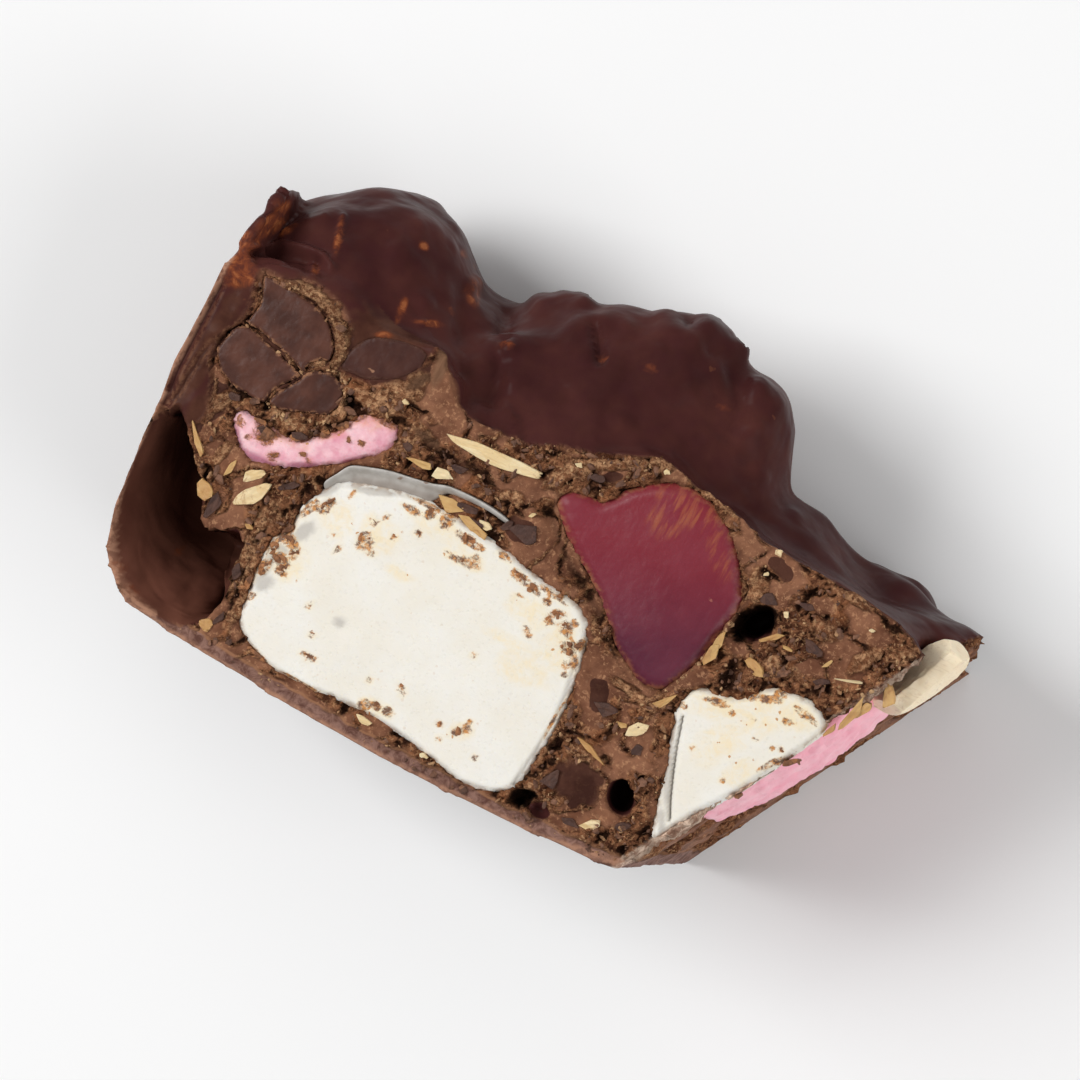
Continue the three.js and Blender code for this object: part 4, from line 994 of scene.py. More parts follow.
def cutFilling(name, look):  # its CAD solid, with the traced outline at the face; finer, and dressed
    bm = nodeShape(name)
    grow(bm, look["grow"])
    depth = None
    if name in outlines:
        keepBetween(bm, -1, look["join"] + 0.5)
        top = slab(outlines[name], look["join"], plan["face"])
        grow(top, look["spread"])
        append(bm, top)
        depth = depths[name]
    bm = remeshed(bm, look["voxel"])
    if look.get("finer"):
        refine(bm, lambda face: nearFace(face) and depth(face.calc_center_median()) < look["finer"])
    rim, *marks = [bm.verts.layers.float.new(name) for name in ("rim", "stain", "paintedShade", "gold")]
    middle = sum((vert.co for vert in bm.verts), Vector()) / len(bm.verts)
    for vert in bm.verts:
        point = vert.co.copy()
        edge = depth(point) if depth and point.z > plan["traced"] else 9
        ragged = edge + 0.25 * noise.noise(point / 0.8)
        vert[rim] = 1 - ramp(ragged, 0.0, look["rimWidth"])
        for mark, spots in zip(marks, ("stains", "paintedShadeSpots", "golds")):
            vert[mark] = spotShare(point, look.get(spots, [])) if point.z > 26 else 0
        onTop = ramp(point.z, 27.2, 27.8)
        height = look["wave"] * noise.noise(point / look["waveSize"])
        height += look["fine"] * noise.noise(point / look["fineSize"] + Vector((4, 1, 0)))
        height += look.get("broken", 0) * crumbLevel(point, 0.7) * vert[rim]
        vert.co += vert.normal * height
        rise = look["dome"] * ramp(edge, 0, 6) - look["roll"] * (1 - ramp(edge, 0, look["rollWidth"]))
        rise += look.get("lift", 0)
        for path, width, deep in look.get("grooves", []):
            rise -= deep * swell(point, path, width)
            # painted shade along the grooves
            vert[marks[1]] = max(vert[marks[1]], swell(point, path, width))
        tilt = look.get("tilts", {}).get(name, (0, 0))
        rise += (point.x - middle.x) * tilt[0] + (point.y - middle.y) * tilt[1]
        vert.co.z = max(vert.co.z + rise * onTop, plan["least"])
    bm.normal_update()
    return bm


smears = [  # of chocolate on the marshmallows: x, y, half length, half width, turn, 1 where lumps lie
    (-13.3, -3.3, 1.0, 0.7, 80, 1), (-12.4, -3.9, 0.5, 0.3, -20, 1), (-9.3, 1.8, 0.6, 0.4, 80, 1),
    (-9.4, -0.4, 0.4, 0.3, 0, 1), (-5.0, 1.3, 1.4, 0.4, -8, 1), (-7.6, 1.9, 0.9, 0.5, 70, 0),
    (-3.8, -0.1, 0.5, 0.5, 0, 0), (-4.8, -0.6, 1.4, 0.3, 0, 0), (-11.2, -1.7, 0.25, 0.2, 0, 1),
    (-13.4, -1.4, 0.4, 0.25, -30, 1), (-12.6, -0.5, 0.35, 0.2, 60, 0), (-15.2, -5.1, 0.4, 0.2, 80, 0),
    (-17.9, -2.3, 0.8, 0.5, 50, 1), (-16.3, -0.2, 0.5, 0.2, 80, 0), (-16.1, -4.2, 0.25, 0.2, 0, 0),
    (-15.0, -10.7, 0.4, 0.25, 80, 1), (-13.6, -12.9, 0.4, 0.25, -10, 1), (-13.0, -14.8, 0.9, 0.3, 4, 1),
    (-4.2, -13.4, 0.7, 0.25, -46, 1), (-7.2, -14.0, 0.25, 0.2, 0, 0), (0.2, -14.4, 0.3, 0.25, 20, 1),
    (1.8, -14.3, 0.4, 0.3, 60, 1), (2.5, -13.6, 0.4, 0.3, -20, 0), (2.5, -12.9, 0.25, 0.2, 0, 1),
    (0.7, -15.6, 0.25, 0.2, 0, 0), (4.4, -15.5, 0.3, 0.15, 0, 0), (-5.7, -15.8, 0.6, 0.35, 0, 1),
    (-6.6, -16.2, 0.7, 0.5, 40, 0), (-4.5, -15.7, 0.5, 0.4, 30, 0), (0.0, -7.5, 0.25, 0.2, 0, 0),
    (3.3, -3.4, 0.6, 0.3, -36, 1), (1.2, -0.9, 0.4, 0.15, 0, 0), (3.6, -0.2, 0.4, 0.35, 0, 1),
    (4.3, 0.7, 0.35, 0.3, 0, 1), (0.4, 0.6, 1.0, 0.4, -14, 1), (1.9, 0.3, 0.7, 0.35, -20, 1),
    (4.9, -0.7, 0.9, 0.35, 20, 1), (4.4, -1.6, 0.6, 0.35, 84, 1), (6.0, -1.5, 0.8, 0.5, -40, 1),
    (7.0, -2.8, 0.8, 0.6, -50, 1), (7.7, -4.3, 0.4, 0.3, 60, 0), (6.6, -0.7, 0.35, 0.25, 0, 0),
    (7.9, -2.2, 0.6, 0.3, 80, 1), (7.9, -5.1, 0.25, 0.2, 0, 0), (-19.4, -6.5, 1.0, 0.5, -10, 1),
    (-20.4, -7.6, 0.6, 0.4, 60, 1), (-19.2, -8.4, 0.9, 0.5, -20, 1), (-18.8, -9.3, 0.6, 0.35, 0, 1),
    (-20.3, -9.6, 0.8, 0.45, 70, 1), (-20.9, -11.4, 0.8, 0.35, 84, 1), (-18.4, -7.4, 0.5, 0.3, 30, 1),
    (-19.9, -5.6, 0.6, 0.35, 60, 1), (-20.2, -12.6, 0.7, 0.3, 50, 0), (-17.0, -17.0, 1.4, 0.25, -14, 1),
    (-1.6, 1.4, 0.7, 0.25, -10, 0), (-11.0, 1.2, 0.9, 0.3, 4, 0), (18.5, -2.5, 0.4, 0.25, 0, 1),
    (21.0, -5.4, 0.25, 0.2, 0, 0), (25.5, -2.0, 0.25, 0.2, 0, 0), (27.3, 0.7, 0.5, 0.3, 20, 0),
    (27.2, -2.0, 0.2, 0.2, 0, 0), (27.9, -1.7, 0.25, 0.25, 0, 1), (24.7, -6.6, 0.25, 0.2, 0, 0),
    (20.9, -0.9, 0.5, 0.25, 0, 0), (22.6, -1.0, 0.25, 0.2, 0, 0), (24.6, -0.6, 0.25, 0.2, 0, 0),
    (26.5, -7.2, 0.6, 0.25, 60, 1), (29.2, -2.3, 1.3, 0.3, 42, 1), (25.6, 2.6, 0.6, 0.3, 0, 0),
    (23.6, 1.2, 0.5, 0.3, 40, 0), (-25.6, 0.8, 0.9, 0.8, 0, 1), (-23.0, 1.9, 0.9, 0.4, 20, 1),
    (-26.6, 1.6, 0.9, 0.3, 0, 1), (-28.4, 0.9, 0.3, 0.3, 0, 0), (-21.0, 3.4, 0.8, 0.4, 46, 1),
    (-20.0, 4.6, 0.9, 0.4, 50, 1), (-18.9, 4.0, 0.2, 0.2, 0, 1), (-17.7, 4.2, 0.3, 0.2, 0, 1),
    (-22.0, 0.8, 0.25, 0.2, 0, 1), (-24.2, -0.5, 0.5, 0.2, 10, 1), (-21.2, 0.6, 0.3, 0.2, 0, 0),
    (-27.0, -0.2, 0.3, 0.2, 0, 0), (-19.0, 6.2, 0.6, 0.4, 40, 0), (-16.4, 6.9, 1.0, 0.3, 0, 0),
]
smearStains = [(x, y, long * 1.3 + 0.12, wide * 1.4 + 0.1, turned) for x, y, long, wide, turned, _ in smears]
largeMarshmallow = {
    "grow": 0.3, "spread": 0.12, "join": 24, "voxel": 0.36, "finer": 1.6, "rimWidth": 0.5,
    "wave": 0.10, "waveSize": 4.0, "fine": 0.03, "fineSize": 0.7, "dome": 0.12, "roll": 0.3, "rollWidth": 0.6,
    "lift": 0.06, "broken": 0.12,
    "stains": smearStains + [
        (-20.4, -7.2, 2.0, 0.5, 82), (-19.0, -3.0, 1.8, 0.6, 66), (-20.9, -11.6, 1.6, 0.35, 88),
        (-9.8, 2.2, 2.2, 0.35, 2), (7.9, -3.4, 2.0, 0.6, -56), (3.6, 0.6, 2.2, 0.4, -8),
        (9.0, -9.0, 3.0, 0.25, 88), (-12.6, -17.2, 3.0, 0.25, 0), (21.0, -0.8, 1.6, 0.5, 10),
        (24.8, 1.6, 1.8, 0.6, 24), (28.4, 2.0, 1.6, 0.5, -10), (27.6, -3.4, 1.8, 0.4, 58),
    ],
    # painted shade on the marshmallow, at its edges and under the skin: x, y, half length, half width, turn
    "paintedShadeSpots": [
        (-20.2, -9.6, 2.6, 0.7, 88), (-19.6, -11.0, 1.2, 0.7, 60), (-12.0, -10.7, 0.7, 0.6, 0),
        (-18.4, -0.8, 1.4, 0.6, 60), (-14.6, 1.0, 2.6, 0.35, 20), (-19.6, -7.6, 0.8, 0.6, 0),
        (-18.6, -5.2, 1.6, 0.7, 70),
    ],
    "golds": [  # where oil of the nuts has yellowed it: x, y, half length, half width, turn
        (-9.3, -4.3, 1.6, 0.6, 0), (-4.8, -0.4, 2.2, 0.9, 0), (-12.6, -2.4, 2.4, 2.0, 0),
        (2.0, -4.9, 2.6, 0.6, 4), (4.4, -6.6, 2.8, 1.6, 0), (-16.4, -2.6, 2.2, 1.8, 0),
        (2.6, -1.8, 2.6, 1.3, 0), (-8.0, 1.0, 3.2, 1.2, 0), (6.4, -3.4, 2.0, 2.2, 0),
        (-5.6, -15.9, 1.8, 0.9, 0), (2.2, -14.0, 1.4, 1.0, 40), (-18.6, -8.0, 1.8, 2.2, 0),
    ],
    "grooves": [
        ([(8.2, -3.4), (8.7, -6.0), (9.0, -8.6), (8.9, -11.0), (8.7, -13.4), (8.4, -16.0)], 0.12, 0.2),
    ],
}
smallMarshmallow = dict(
    # painted shade along the left edge
    largeMarshmallow, finer=1.8, paintedShadeSpots=[(19.9, -7.8, 4.6, 0.4, -67), (21.6, -12.4, 1.6, 0.4, -60)],
    golds=[
        (21.6, -0.9, 3.6, 1.5, 20), (24.6, 0.4, 3.2, 2.4, 30), (27.2, 1.6, 2.6, 1.8, 0),
        (23.0, -3.6, 3.4, 1.8, 60), (25.6, -5.4, 2.0, 1.2, 60),
    ],
    grooves=[([(18.9, -3.4), (19.7, -6.0), (20.5, -8.2), (21.4, -10.4), (22.2, -12.0)], 0.13, 0.7)],
)
pinkMarshmallow = dict(
    largeMarshmallow, voxel=0.24, finer=0, rimWidth=0.6, wave=0.14, waveSize=1.8, fine=0.10, fineSize=0.5,
    roll=0.4, rollWidth=0.7, lift=-0.05, broken=0.3, grooves=[],
    stains=largeMarshmallow["stains"] + [
        (-22.6, 2.1, 1.8, 0.5, 34), (-20.3, 4.5, 1.5, 0.4, 52), (-19.0, 6.2, 1.5, 0.6, 48),
        (-17.2, 7.0, 2.0, 0.5, 4), (-25.6, 0.9, 1.5, 1.1, 0), (-28.2, 0.6, 0.8, 0.6, 0),
        (-26.6, 1.7, 1.6, 0.35, 0), (-24.2, -0.9, 0.8, 0.3, 0),
    ],
    golds=[(-18.0, 6.5, 2.8, 1.3, 20), (-20.6, 4.0, 2.4, 0.9, 50), (-24.0, 1.6, 3.0, 0.9, 0)],
    # painted shade along the rounded lower edge
    paintedShadeSpots=[
        (-25.6, -1.5, 3.4, 0.5, 4), (-28.0, -0.6, 1.2, 0.5, -46), (-21.6, -0.1, 1.6, 0.35, 30),
        (-17.6, 2.6, 1.6, 0.3, 44),
    ],
)
endMarshmallow = dict(
    pinkMarshmallow, grow=0.35, voxel=0.3, wave=0.3, waveSize=1.1, broken=0.2, stains=[], paintedShadeSpots=[], golds=[],
)


def marshmallowMaterial(name, colours):
    material, tree, shader, spot = newMaterial(name)
    gold, stain = attribute(tree, "gold"), attribute(tree, "stain")
    cloud, dusty = noiseAt(tree, spot, 0.9, 6.0, 0.7, 0.6), noiseAt(tree, spot, 1.9, 6.0, 0.72, 0.6)
    pores = placed(tree, finePores, Vector=spot, Size=0.42, Depth=0.03)
    stained = plus(tree, times(tree, stain, 0.42), dusty)
    deep = spread(tree, noiseAt(tree, spot, 2.4, 4.0, 0.65), 0.44, 0.56)
    dots = specks(tree, spot, 0.7, colours["dots"], 0.18)
    ragged = spread(tree, mottled(tree, spot, 1.4, 0.14), 0.35, 0.9, 0.0, 0.6)
    colour = coated(
        tree, mixed(tree, mottled(tree, spot, colours["mottle"], 0.26), colours["body"], colours["shade"]),
        (times(tree, gold, spread(tree, cloud, 0.36, 0.68, 0.1, 0.5)), colours["gold"]),
        # painted shade: the insides of the pores a little darker
        (times(tree, pores["Inside"], 0.12), colours["pore"]),
        # painted shade
        (times(tree, attribute(tree, "paintedShade"), 0.75), colours["paintedShade"]),
        (times(tree, stain, 0.3), colours["halo"]),
        (spread(tree, stained, 0.74, 0.98, 0.0, colours["stainStrength"]),
         mixed(tree, deep, colours["stain"], colours["deepStain"])),
        (times(tree, dots, spread(tree, gold, 0.0, 0.6, 0.15, 0.85)), tone(190, 132, 62)),
        (times(tree, attribute(tree, "rim"), ragged), colours["edge"]),
    )
    letLightIn(shader, 0.25, colours["glow"], 1.0)
    soft = times(tree, noiseAt(tree, spot, 1.8, 4.0, 0.6), colours["fluff"])
    finishLook(tree, shader, colour, 0.72, plus(tree, soft, pores["Height"]), 0.8)
    return material


whiteFoam = marshmallowMaterial("whiteMarshmallow", {
    "body": tone(236, 233, 226), "shade": tone(233, 227, 214), "pore": tone(216, 208, 194),
    "paintedShade": tone(186, 180, 172), "stain": tone(198, 132, 62), "deepStain": tone(104, 64, 42),
    "halo": tone(240, 216, 160), "gold": tone(240, 214, 156), "edge": tone(150, 112, 76),
    "stainStrength": 0.95, "dots": 0.3, "glow": (1.0, 0.9, 0.7), "mottle": 5.0, "fluff": 0.07,
})
pinkFoam = marshmallowMaterial("pinkMarshmallow", {
    "body": tone(246, 206, 210), "shade": tone(222, 148, 166), "pore": tone(214, 140, 158),
    "paintedShade": tone(170, 96, 122), "stain": tone(168, 104, 58), "deepStain": tone(120, 72, 48),
    "halo": tone(226, 160, 140), "gold": tone(222, 150, 96), "edge": tone(150, 92, 72),
    "stainStrength": 0.95, "dots": 0.3, "glow": (1.0, 0.6, 0.6), "mottle": 1.8, "fluff": 0.16,
})
# painted light: a brighter copy of the pink marshmallow for the end, which gets less light
pinkFoamPaintedBrighter = marshmallowMaterial("pinkMarshmallowPaintedBrighterAtTheEnd", {
    "body": tone(255, 196, 206), "shade": tone(250, 166, 184), "pore": tone(230, 158, 172),
    "paintedShade": tone(168, 100, 120), "stain": tone(160, 94, 56), "deepStain": tone(120, 72, 48),
    "halo": tone(228, 170, 150), "gold": tone(222, 150, 96), "edge": tone(206, 150, 140),
    "stainStrength": 0.7, "dots": 0.12, "glow": (1.0, 0.6, 0.6), "mottle": 3.0, "fluff": 0.16,
})

fillings = [
    ("marshmallow_large", "marshmallowLarge", largeMarshmallow, whiteFoam, "white_marshmallow"),
    ("marshmallow_small", "marshmallowSmall", smallMarshmallow, whiteFoam, "white_marshmallow"),
    ("marshmallow_pink_strip", "marshmallowPinkStrip", pinkMarshmallow, pinkFoam, "pink_marshmallow"),
    ("marshmallow_pink_end", "marshmallowPinkEnd", endMarshmallow, pinkFoamPaintedBrighter, "pink_marshmallow"),
]
for node, name, look, material, slotName in fillings:
    finishPiece(name, cutFilling(node, look), material, slotName, node)


def filmPiece():
    bm = remeshed(slab(zones["film"], film["foot"], plan["face"] + 0.2), film["voxel"])
    paintedShade = bm.verts.layers.float.new("paintedShade")
    for vert in bm.verts:
        off = lineDistance(vert.co, film["outer"])
        # painted shade: darker away from the outer edge, towards the marshmallow
        vert[paintedShade] = ramp(off, 0.5, 1.3)
        if vert.co.z > 27.5:
            vert.co.z += 0.08 * noise.noise(vert.co / 0.9) - film["drop"] * ramp(off, 0.0, 0.9)
    return bm


def filmMaterial():
    material, tree, shader, spot = newMaterial("marshmallowSkin")
    colour = coated(
        tree, mixed(tree, mottled(tree, spot, 1.1, 0.3), tone(192, 188, 182), tone(166, 160, 153)),
        # painted shade of the skin
        (times(tree, attribute(tree, "paintedShade"), 0.7), tone(128, 116, 106)),
        (times(tree, specks(tree, spot, 1.3, 0.3, 0.24), 0.7), tone(120, 84, 60)),
    )
    finishLook(tree, shader, colour, 0.42, times(tree, noiseAt(tree, spot, 1.2, 3.0, 0.5), 0.12), 0.8)
    return material


finishPiece("marshmallowSkin", filmPiece(), filmMaterial(), "white_marshmallow")

# The jelly

jelly = {
    "grow": 0.3, "spread": 0.1, "join": 24, "voxel": 0.3, "rimWidth": 0.55, "wave": 0.10, "waveSize": 5.0,
    "fine": 0.02, "fineSize": 0.8, "dome": 0.2, "roll": 0.4, "rollWidth": 0.9, "broken": 0.10,
    "stains": [(11.0, 13.0, 4.2, 1.5, 0), (15.0, 11.0, 3.0, 1.2, -50), (9.6, 11.4, 2.0, 2.0, 0)],
}


def jellyMaterial():
    material, tree, shader, spot = newMaterial("redJelly")
    slow = mottled(tree, spot, 5.0, 0.3)
    split = tree.nodes.new("ShaderNodeSeparateXYZ")
    plug(tree, spot, split.inputs[0])
    leaning = calc(tree, "SUBTRACT", split.outputs["Y"], times(tree, split.outputs["X"], 0.35))
    down = spread(tree, plus(tree, leaning, times(tree, slow, 2.5)), -8.0, 4.5)
    striped = drawnOut(tree, spot, (1.8, 0.28, 1.0), -6)
    streaks = spread(tree, noiseAt(tree, striped, 1.0, 4.0, 0.6, 0.3), 0.44, 0.66)
    ragged = spread(tree, mottled(tree, spot, 0.7, 0.14), 0.1, 0.8, 0.15, 0.85)
    colour = coated(
        tree, mixed(tree, down, tone(84, 28, 48), tone(126, 32, 44)),
        (times(tree, slow, 0.35), tone(122, 48, 66)),
        (times(tree, times(tree, streaks, attribute(tree, "stain")), 0.6), tone(164, 92, 56)),
        (times(tree, specks(tree, spot, 0.9, 0.10, 0.14), 0.5), tone(176, 112, 96)),
        (times(tree, attribute(tree, "rim"), ragged), tone(158, 102, 72)),
    )
    shader.inputs["Specular IOR Level"].default_value = 0.35
    letLightIn(shader, 0.15, (1.0, 0.25, 0.25), 1.2)
    dents = times(tree, noiseAt(tree, spot, 0.8, 3.0, 0.5), 0.14)
    knife = times(tree, noiseAt(tree, striped, 1.2, 2.0, 0.5), 0.03)
    finishLook(tree, shader, colour, spread(tree, slow, 0.0, 1.0, 0.38, 0.5), plus(tree, knife, dents), 0.7)
    return material


finishPiece("jellyPiece", cutFilling("jelly", jelly), jellyMaterial(), "jelly", "jelly")

# The chocolate buttons

button = {
    "grow": -0.2, "spread": 0.0, "join": 24, "voxel": 0.17, "rimWidth": 0.3, "wave": 0.10, "waveSize": 1.8,
    "fine": 0.02, "fineSize": 0.5, "dome": 0.04, "roll": 0.12, "rollWidth": 0.2, "lift": 0.06, "broken": 0.25,
    "tilts": {
        "chocolate_button_1": (0.02, -0.03), "chocolate_button_2": (0.03, 0.02),
        "chocolate_button_3": (-0.02, -0.03), "chocolate_button_4": (-0.01, -0.02),
    },
}


def buttonMaterial(name, dark, light, rimShare):
    material, tree, shader, spot = newMaterial(name)
    rim = attribute(tree, "rim")
    ragged = spread(tree, mottled(tree, spot, 0.5, 0.12), 0.25, 0.75, 0.05, rimShare)
    colour = coated(
        tree, mixed(tree, mottled(tree, spot, 2.8, 0.2), dark, light),
        (times(tree, specks(tree, spot, 1.9, 0.3, 0.13), 0.7), tone(168, 124, 96)),
        (times(tree, rim, ragged), tone(168, 120, 88)),
    )
    shader.inputs["Specular IOR Level"].default_value = 0.18
    grain = placed(tree, crumbGrain, Vector=spot, Size=0.3, Height=0.12)["Height"]
    grain = times(tree, grain, spread(tree, rim, 0.0, 1.0, 0.08, 1.0))
    waves = times(tree, noiseAt(tree, spot, 0.7, 2.0, 0.5), 0.12)
    finishLook(tree, shader, colour, spread(tree, rim, 0.0, 1.0, 0.40, 0.75), plus(tree, grain, waves), 1.0)
    return material


buttonFinish = buttonMaterial("buttonChocolate", tone(66, 39, 32), tone(92, 57, 46), 0.95)
meltedFinish = buttonMaterial("meltedButtonChocolate", tone(62, 34, 29), tone(78, 47, 39), 0.1)
melted = dict(button, broken=0, roll=0.02, rollWidth=0.6, lift=-0.02, wave=0.05)
for number in range(1, 5):
    node = f"chocolate_button_{number}"
    look, finish = (melted, meltedFinish) if number == 4 else (button, buttonFinish)
    finishPiece(f"chocolateButton{number}", cutFilling(node, look), finish, "button_chocolate", node)

# The almond in the end, and nut flakes on the cut face

almond = {
    "grow": 0.0, "voxel": 0.2, "rimWidth": 0.4, "wave": 0.0, "waveSize": 2.6, "fine": 0.03, "fineSize": 0.6,
    "dome": 0.0, "roll": 0.0, "rollWidth": 0.5,
    "chips": [  # planes that a knife and a break left: a point, and the direction that was cut off
        ((36.4, 9.4, 24.9), (0.25, -0.12, 1.0)), ((35.0, 8.6, 25.0), (-1.0, 0.42, 0.75)),
        ((37.2, 9.7, 24.0), (1.0, -0.4, 0.3)), ((37.6, 12.9, 24.0), (0.35, 1.0, 0.3)),
        ((34.9, 5.6, 24.0), (-0.1, -1.0, 0.5)),
    ],
}


def chipped(bm, chips):  # flattens what stands out of each plane onto it
    for spot, out in chips:
        out = Vector(out).normalized()
        for vert in bm.verts:
            over = out.dot(vert.co - Vector(spot)) - 0.12 * noise.noise(vert.co / 0.9)
            if over > 0:
                vert.co -= out * over
    bm.normal_update()
    return bm


def nutMaterial(name, light, deep, smudged=0.6):
    material, tree, shader, spot = newMaterial(name)
    each = channels(tree, cellsAt(tree, spot, 0.3).outputs["Color"])[0]
    share = times(tree, plus(tree, mottled(tree, spot, 2.4, 0.25), each), 0.5)
    fibres = drawnOut(tree, spot, (0.5, 3.4, 2.0), -60)
    lines = spread(tree, noiseAt(tree, fibres, 1.2, 5.0, 0.6, 0.4), 0.50, 0.68)
    smudge = spread(tree, noiseAt(tree, spot, 0.9, 4.0, 0.6, 0.8), 0.57, 0.70)
    colour = coated(
        tree, mixed(tree, share, light, deep),
        (times(tree, lines, 0.22), tone(190, 146, 92)),
        (times(tree, smudge, smudged), tone(158, 104, 60)),
    )
    letLightIn(shader, 0.1, (1.0, 0.7, 0.4), 0.8)
    finishLook(tree, shader, colour, 0.55, times(tree, noiseAt(tree, fibres, 2.2, 4.0, 0.6), 0.06), 0.8)
    return material


creamNut = nutMaterial("creamNut", tone(238, 220, 180), tone(222, 190, 136))
tanNut = nutMaterial("tanNut", tone(214, 178, 116), tone(176, 124, 70))
almondNut = nutMaterial("almondNut", tone(255, 240, 212), tone(254, 230, 194), 0.25)
finishPiece("almondPiece", chipped(cutFilling("nut", almond), almond["chips"]), almondNut, "nut", "nut")

flakes = {
    "top": 28.3,  # how high the chocolate under them counts at most
    "sunk": 0.08,  # how far they sit in it
    "halfHeight": 0.9,
    "flat": 0.25,  # where the upper side is cut flat, over the middle
    "breaks": 5,  # broken edges of each
    "whole": 2.5,  # from this half length on the edges hardly break
    "cream": [  # x, y, half length, half width, turn
        (-7.0, 8.85, 4.4, 0.66, 5), (-9.8, 5.3, 1.3, 0.55, 12), (-24.0, -4.4, 2.1, 0.85, 62),
        (-24.8, -2.9, 1.3, 0.5, 36), (15.9, -6.1, 1.3, 0.6, 46), (16.2, -15.8, 1.2, 0.45, 30),
        (-6.0, -17.4, 0.9, 0.35, 0), (0.4, -17.6, 0.5, 0.25, 0), (30.6, 6.6, 1.5, 0.12, 20),
        (-7.6, 4.2, 0.6, 0.3, 6), (-4.6, 3.1, 0.8, 0.35, -14), (19.6, 13.4, 0.45, 0.35, 10),
        (22.7, 9.0, 0.35, 0.3, 0), (19.5, 11.2, 0.35, 0.25, 30), (0.4, 11.8, 0.4, 0.3, 20),
        (7.6, 15.0, 0.35, 0.3, 0), (-15.9, 9.4, 0.35, 0.25, 0), (-1.2, 5.9, 0.35, 0.25, 40),
        (30.0, 11.4, 0.3, 0.2, 20),
    ],
    "tan": [
        (-12.3, 5.2, 1.4, 0.4, 10), (-28.3, -6.4, 1.2, 0.8, -30), (14.5, -6.6, 0.5, 0.4, 0),
        (13.4, -10.0, 1.9, 0.32, -20), (-22.6, -16.8, 0.9, 0.65, 10), (22.5, 3.4, 1.1, 0.6, -18),
        (22.6, 6.6, 1.1, 0.4, 42), (18.7, 3.8, 1.3, 0.5, 82), (-8.3, 3.3, 1.4, 0.85, 0),
        (18.6, 2.6, 1.5, 0.5, 80), (31.9, 3.9, 2.2, 0.45, 78), (32.6, 4.6, 1.5, 0.35, 70),
        (34.0, 6.7, 1.3, 0.6, -56), (27.9, 6.8, 0.6, 0.2, 60), (24.2, 6.4, 0.5, 0.3, 0),
        (-30.9, -2.6, 1.5, 0.4, -50), (16.8, -3.0, 1.4, 0.4, 52), (-22.0, 5.5, 0.9, 0.4, 30),
        (-23.2, -7.2, 0.5, 0.25, -20), (30.9, 1.9, 0.8, 0.35, 70), (-27.0, -3.4, 0.9, 0.3, 80),
        (-5.4, 2.5, 1.9, 0.55, -8),
    ],
    "chips": [  # broken pieces of chocolate
        (-1.2, 4.2, 1.5, 1.1, 20), (-6.5, 3.6, 1.3, 0.4, 8), (-5.3, 2.9, 0.7, 0.35, -10),
        (-25.8, 0.9, 1.0, 0.7, 0), (-26.9, -7.2, 1.8, 0.5, 84), (-2.6, 4.0, 0.6, 0.45, 60),
        (-21.6, -2.2, 1.0, 0.5, 40), (-19.3, -6.6, 0.7, 0.35, 0), (12.4, -6.0, 1.2, 0.8, 10),
        (16.8, -8.0, 0.8, 0.5, 60), (-8.9, 6.4, 0.9, 0.45, 10), (-13.9, 5.9, 0.7, 0.4, 0),
        (20.9, 9.4, 0.9, 0.6, 40), (26.0, 7.6, 1.1, 0.6, -20), (28.2, 5.2, 0.8, 0.5, 30),
        (24.0, 10.4, 0.7, 0.5, 0), (11.2, -13.9, 1.2, 0.8, 70), (14.6, -16.4, 0.8, 0.5, 0),
        (-22.3, -11.2, 0.9, 0.4, 84), (-21.7, -15.6, 0.8, 0.4, 70), (18.9, -14.6, 0.8, 0.5, 40),
        (2.4, 11.6, 0.8, 0.45, 30), (-23.0, 2.2, 0.8, 0.4, 10), (-29.6, 2.4, 0.7, 0.5, 0),
    ],
}


def flakeMesh(places, lying=0.2, blunt=0.0):  # each on the chocolate under it, or that far under the face
    bm = bmesh.new()
    chips = random.Random(3)
    for x, y, long, wide, turned in places:
        along = Matrix.Rotation(math.radians(turned), 2) @ Vector((long * 0.7, 0))
        heights = [faceAt(x + along.x * share, y + along.y * share) for share in (-1, -0.5, 0, 0.5, 1)]
        level = max([height for height in heights if height], default=plan["face"] - lying)
        verts = bmesh.ops.create_icosphere(bm, subdivisions=4 if long > 1 else 3, radius=1)["verts"]
        cuts = []
        for _ in range(flakes["breaks"]):
            angle = chips.uniform(0, 2 * math.pi)
            limit = chips.uniform(0.5, 0.85) + blunt if long < flakes["whole"] else 0.86
            cuts.append((Vector((math.cos(angle), math.sin(angle), 0)), limit))
        for vert in verts:
            place = vert.co * 1.5 + Vector((x, y, 0))
            vert.co *= 1.08 + 0.20 * noise.noise(place) + 0.12 * noise.noise(place * 2.7)
            for out, limit in cuts:
                vert.co -= out * max(0, vert.co.dot(out) - limit)
        bmesh.ops.scale(bm, vec=(long, wide, flakes["halfHeight"]), verts=verts)
        for vert in verts:
            ridge = noise.noise(Vector((vert.co.x * 1.6, vert.co.y * 4, x)))
            vert.co.z = min(vert.co.z, flakes["flat"] + 0.10 * vert.co.y / wide + 0.11 * ridge)
        bmesh.ops.rotate(bm, matrix=Matrix.Rotation(math.radians(turned), 3, "Z"), verts=verts)
        bmesh.ops.translate(bm, vec=(x, y, min(level, flakes["top"]) - flakes["sunk"]), verts=verts)
    bm.normal_update()
    return bm


finishPiece("creamFlakes", flakeMesh(flakes["cream"]), creamNut, "nut")
finishPiece("tanFlakes", flakeMesh(flakes["tan"]), tanNut, "nut")

# Crumbs

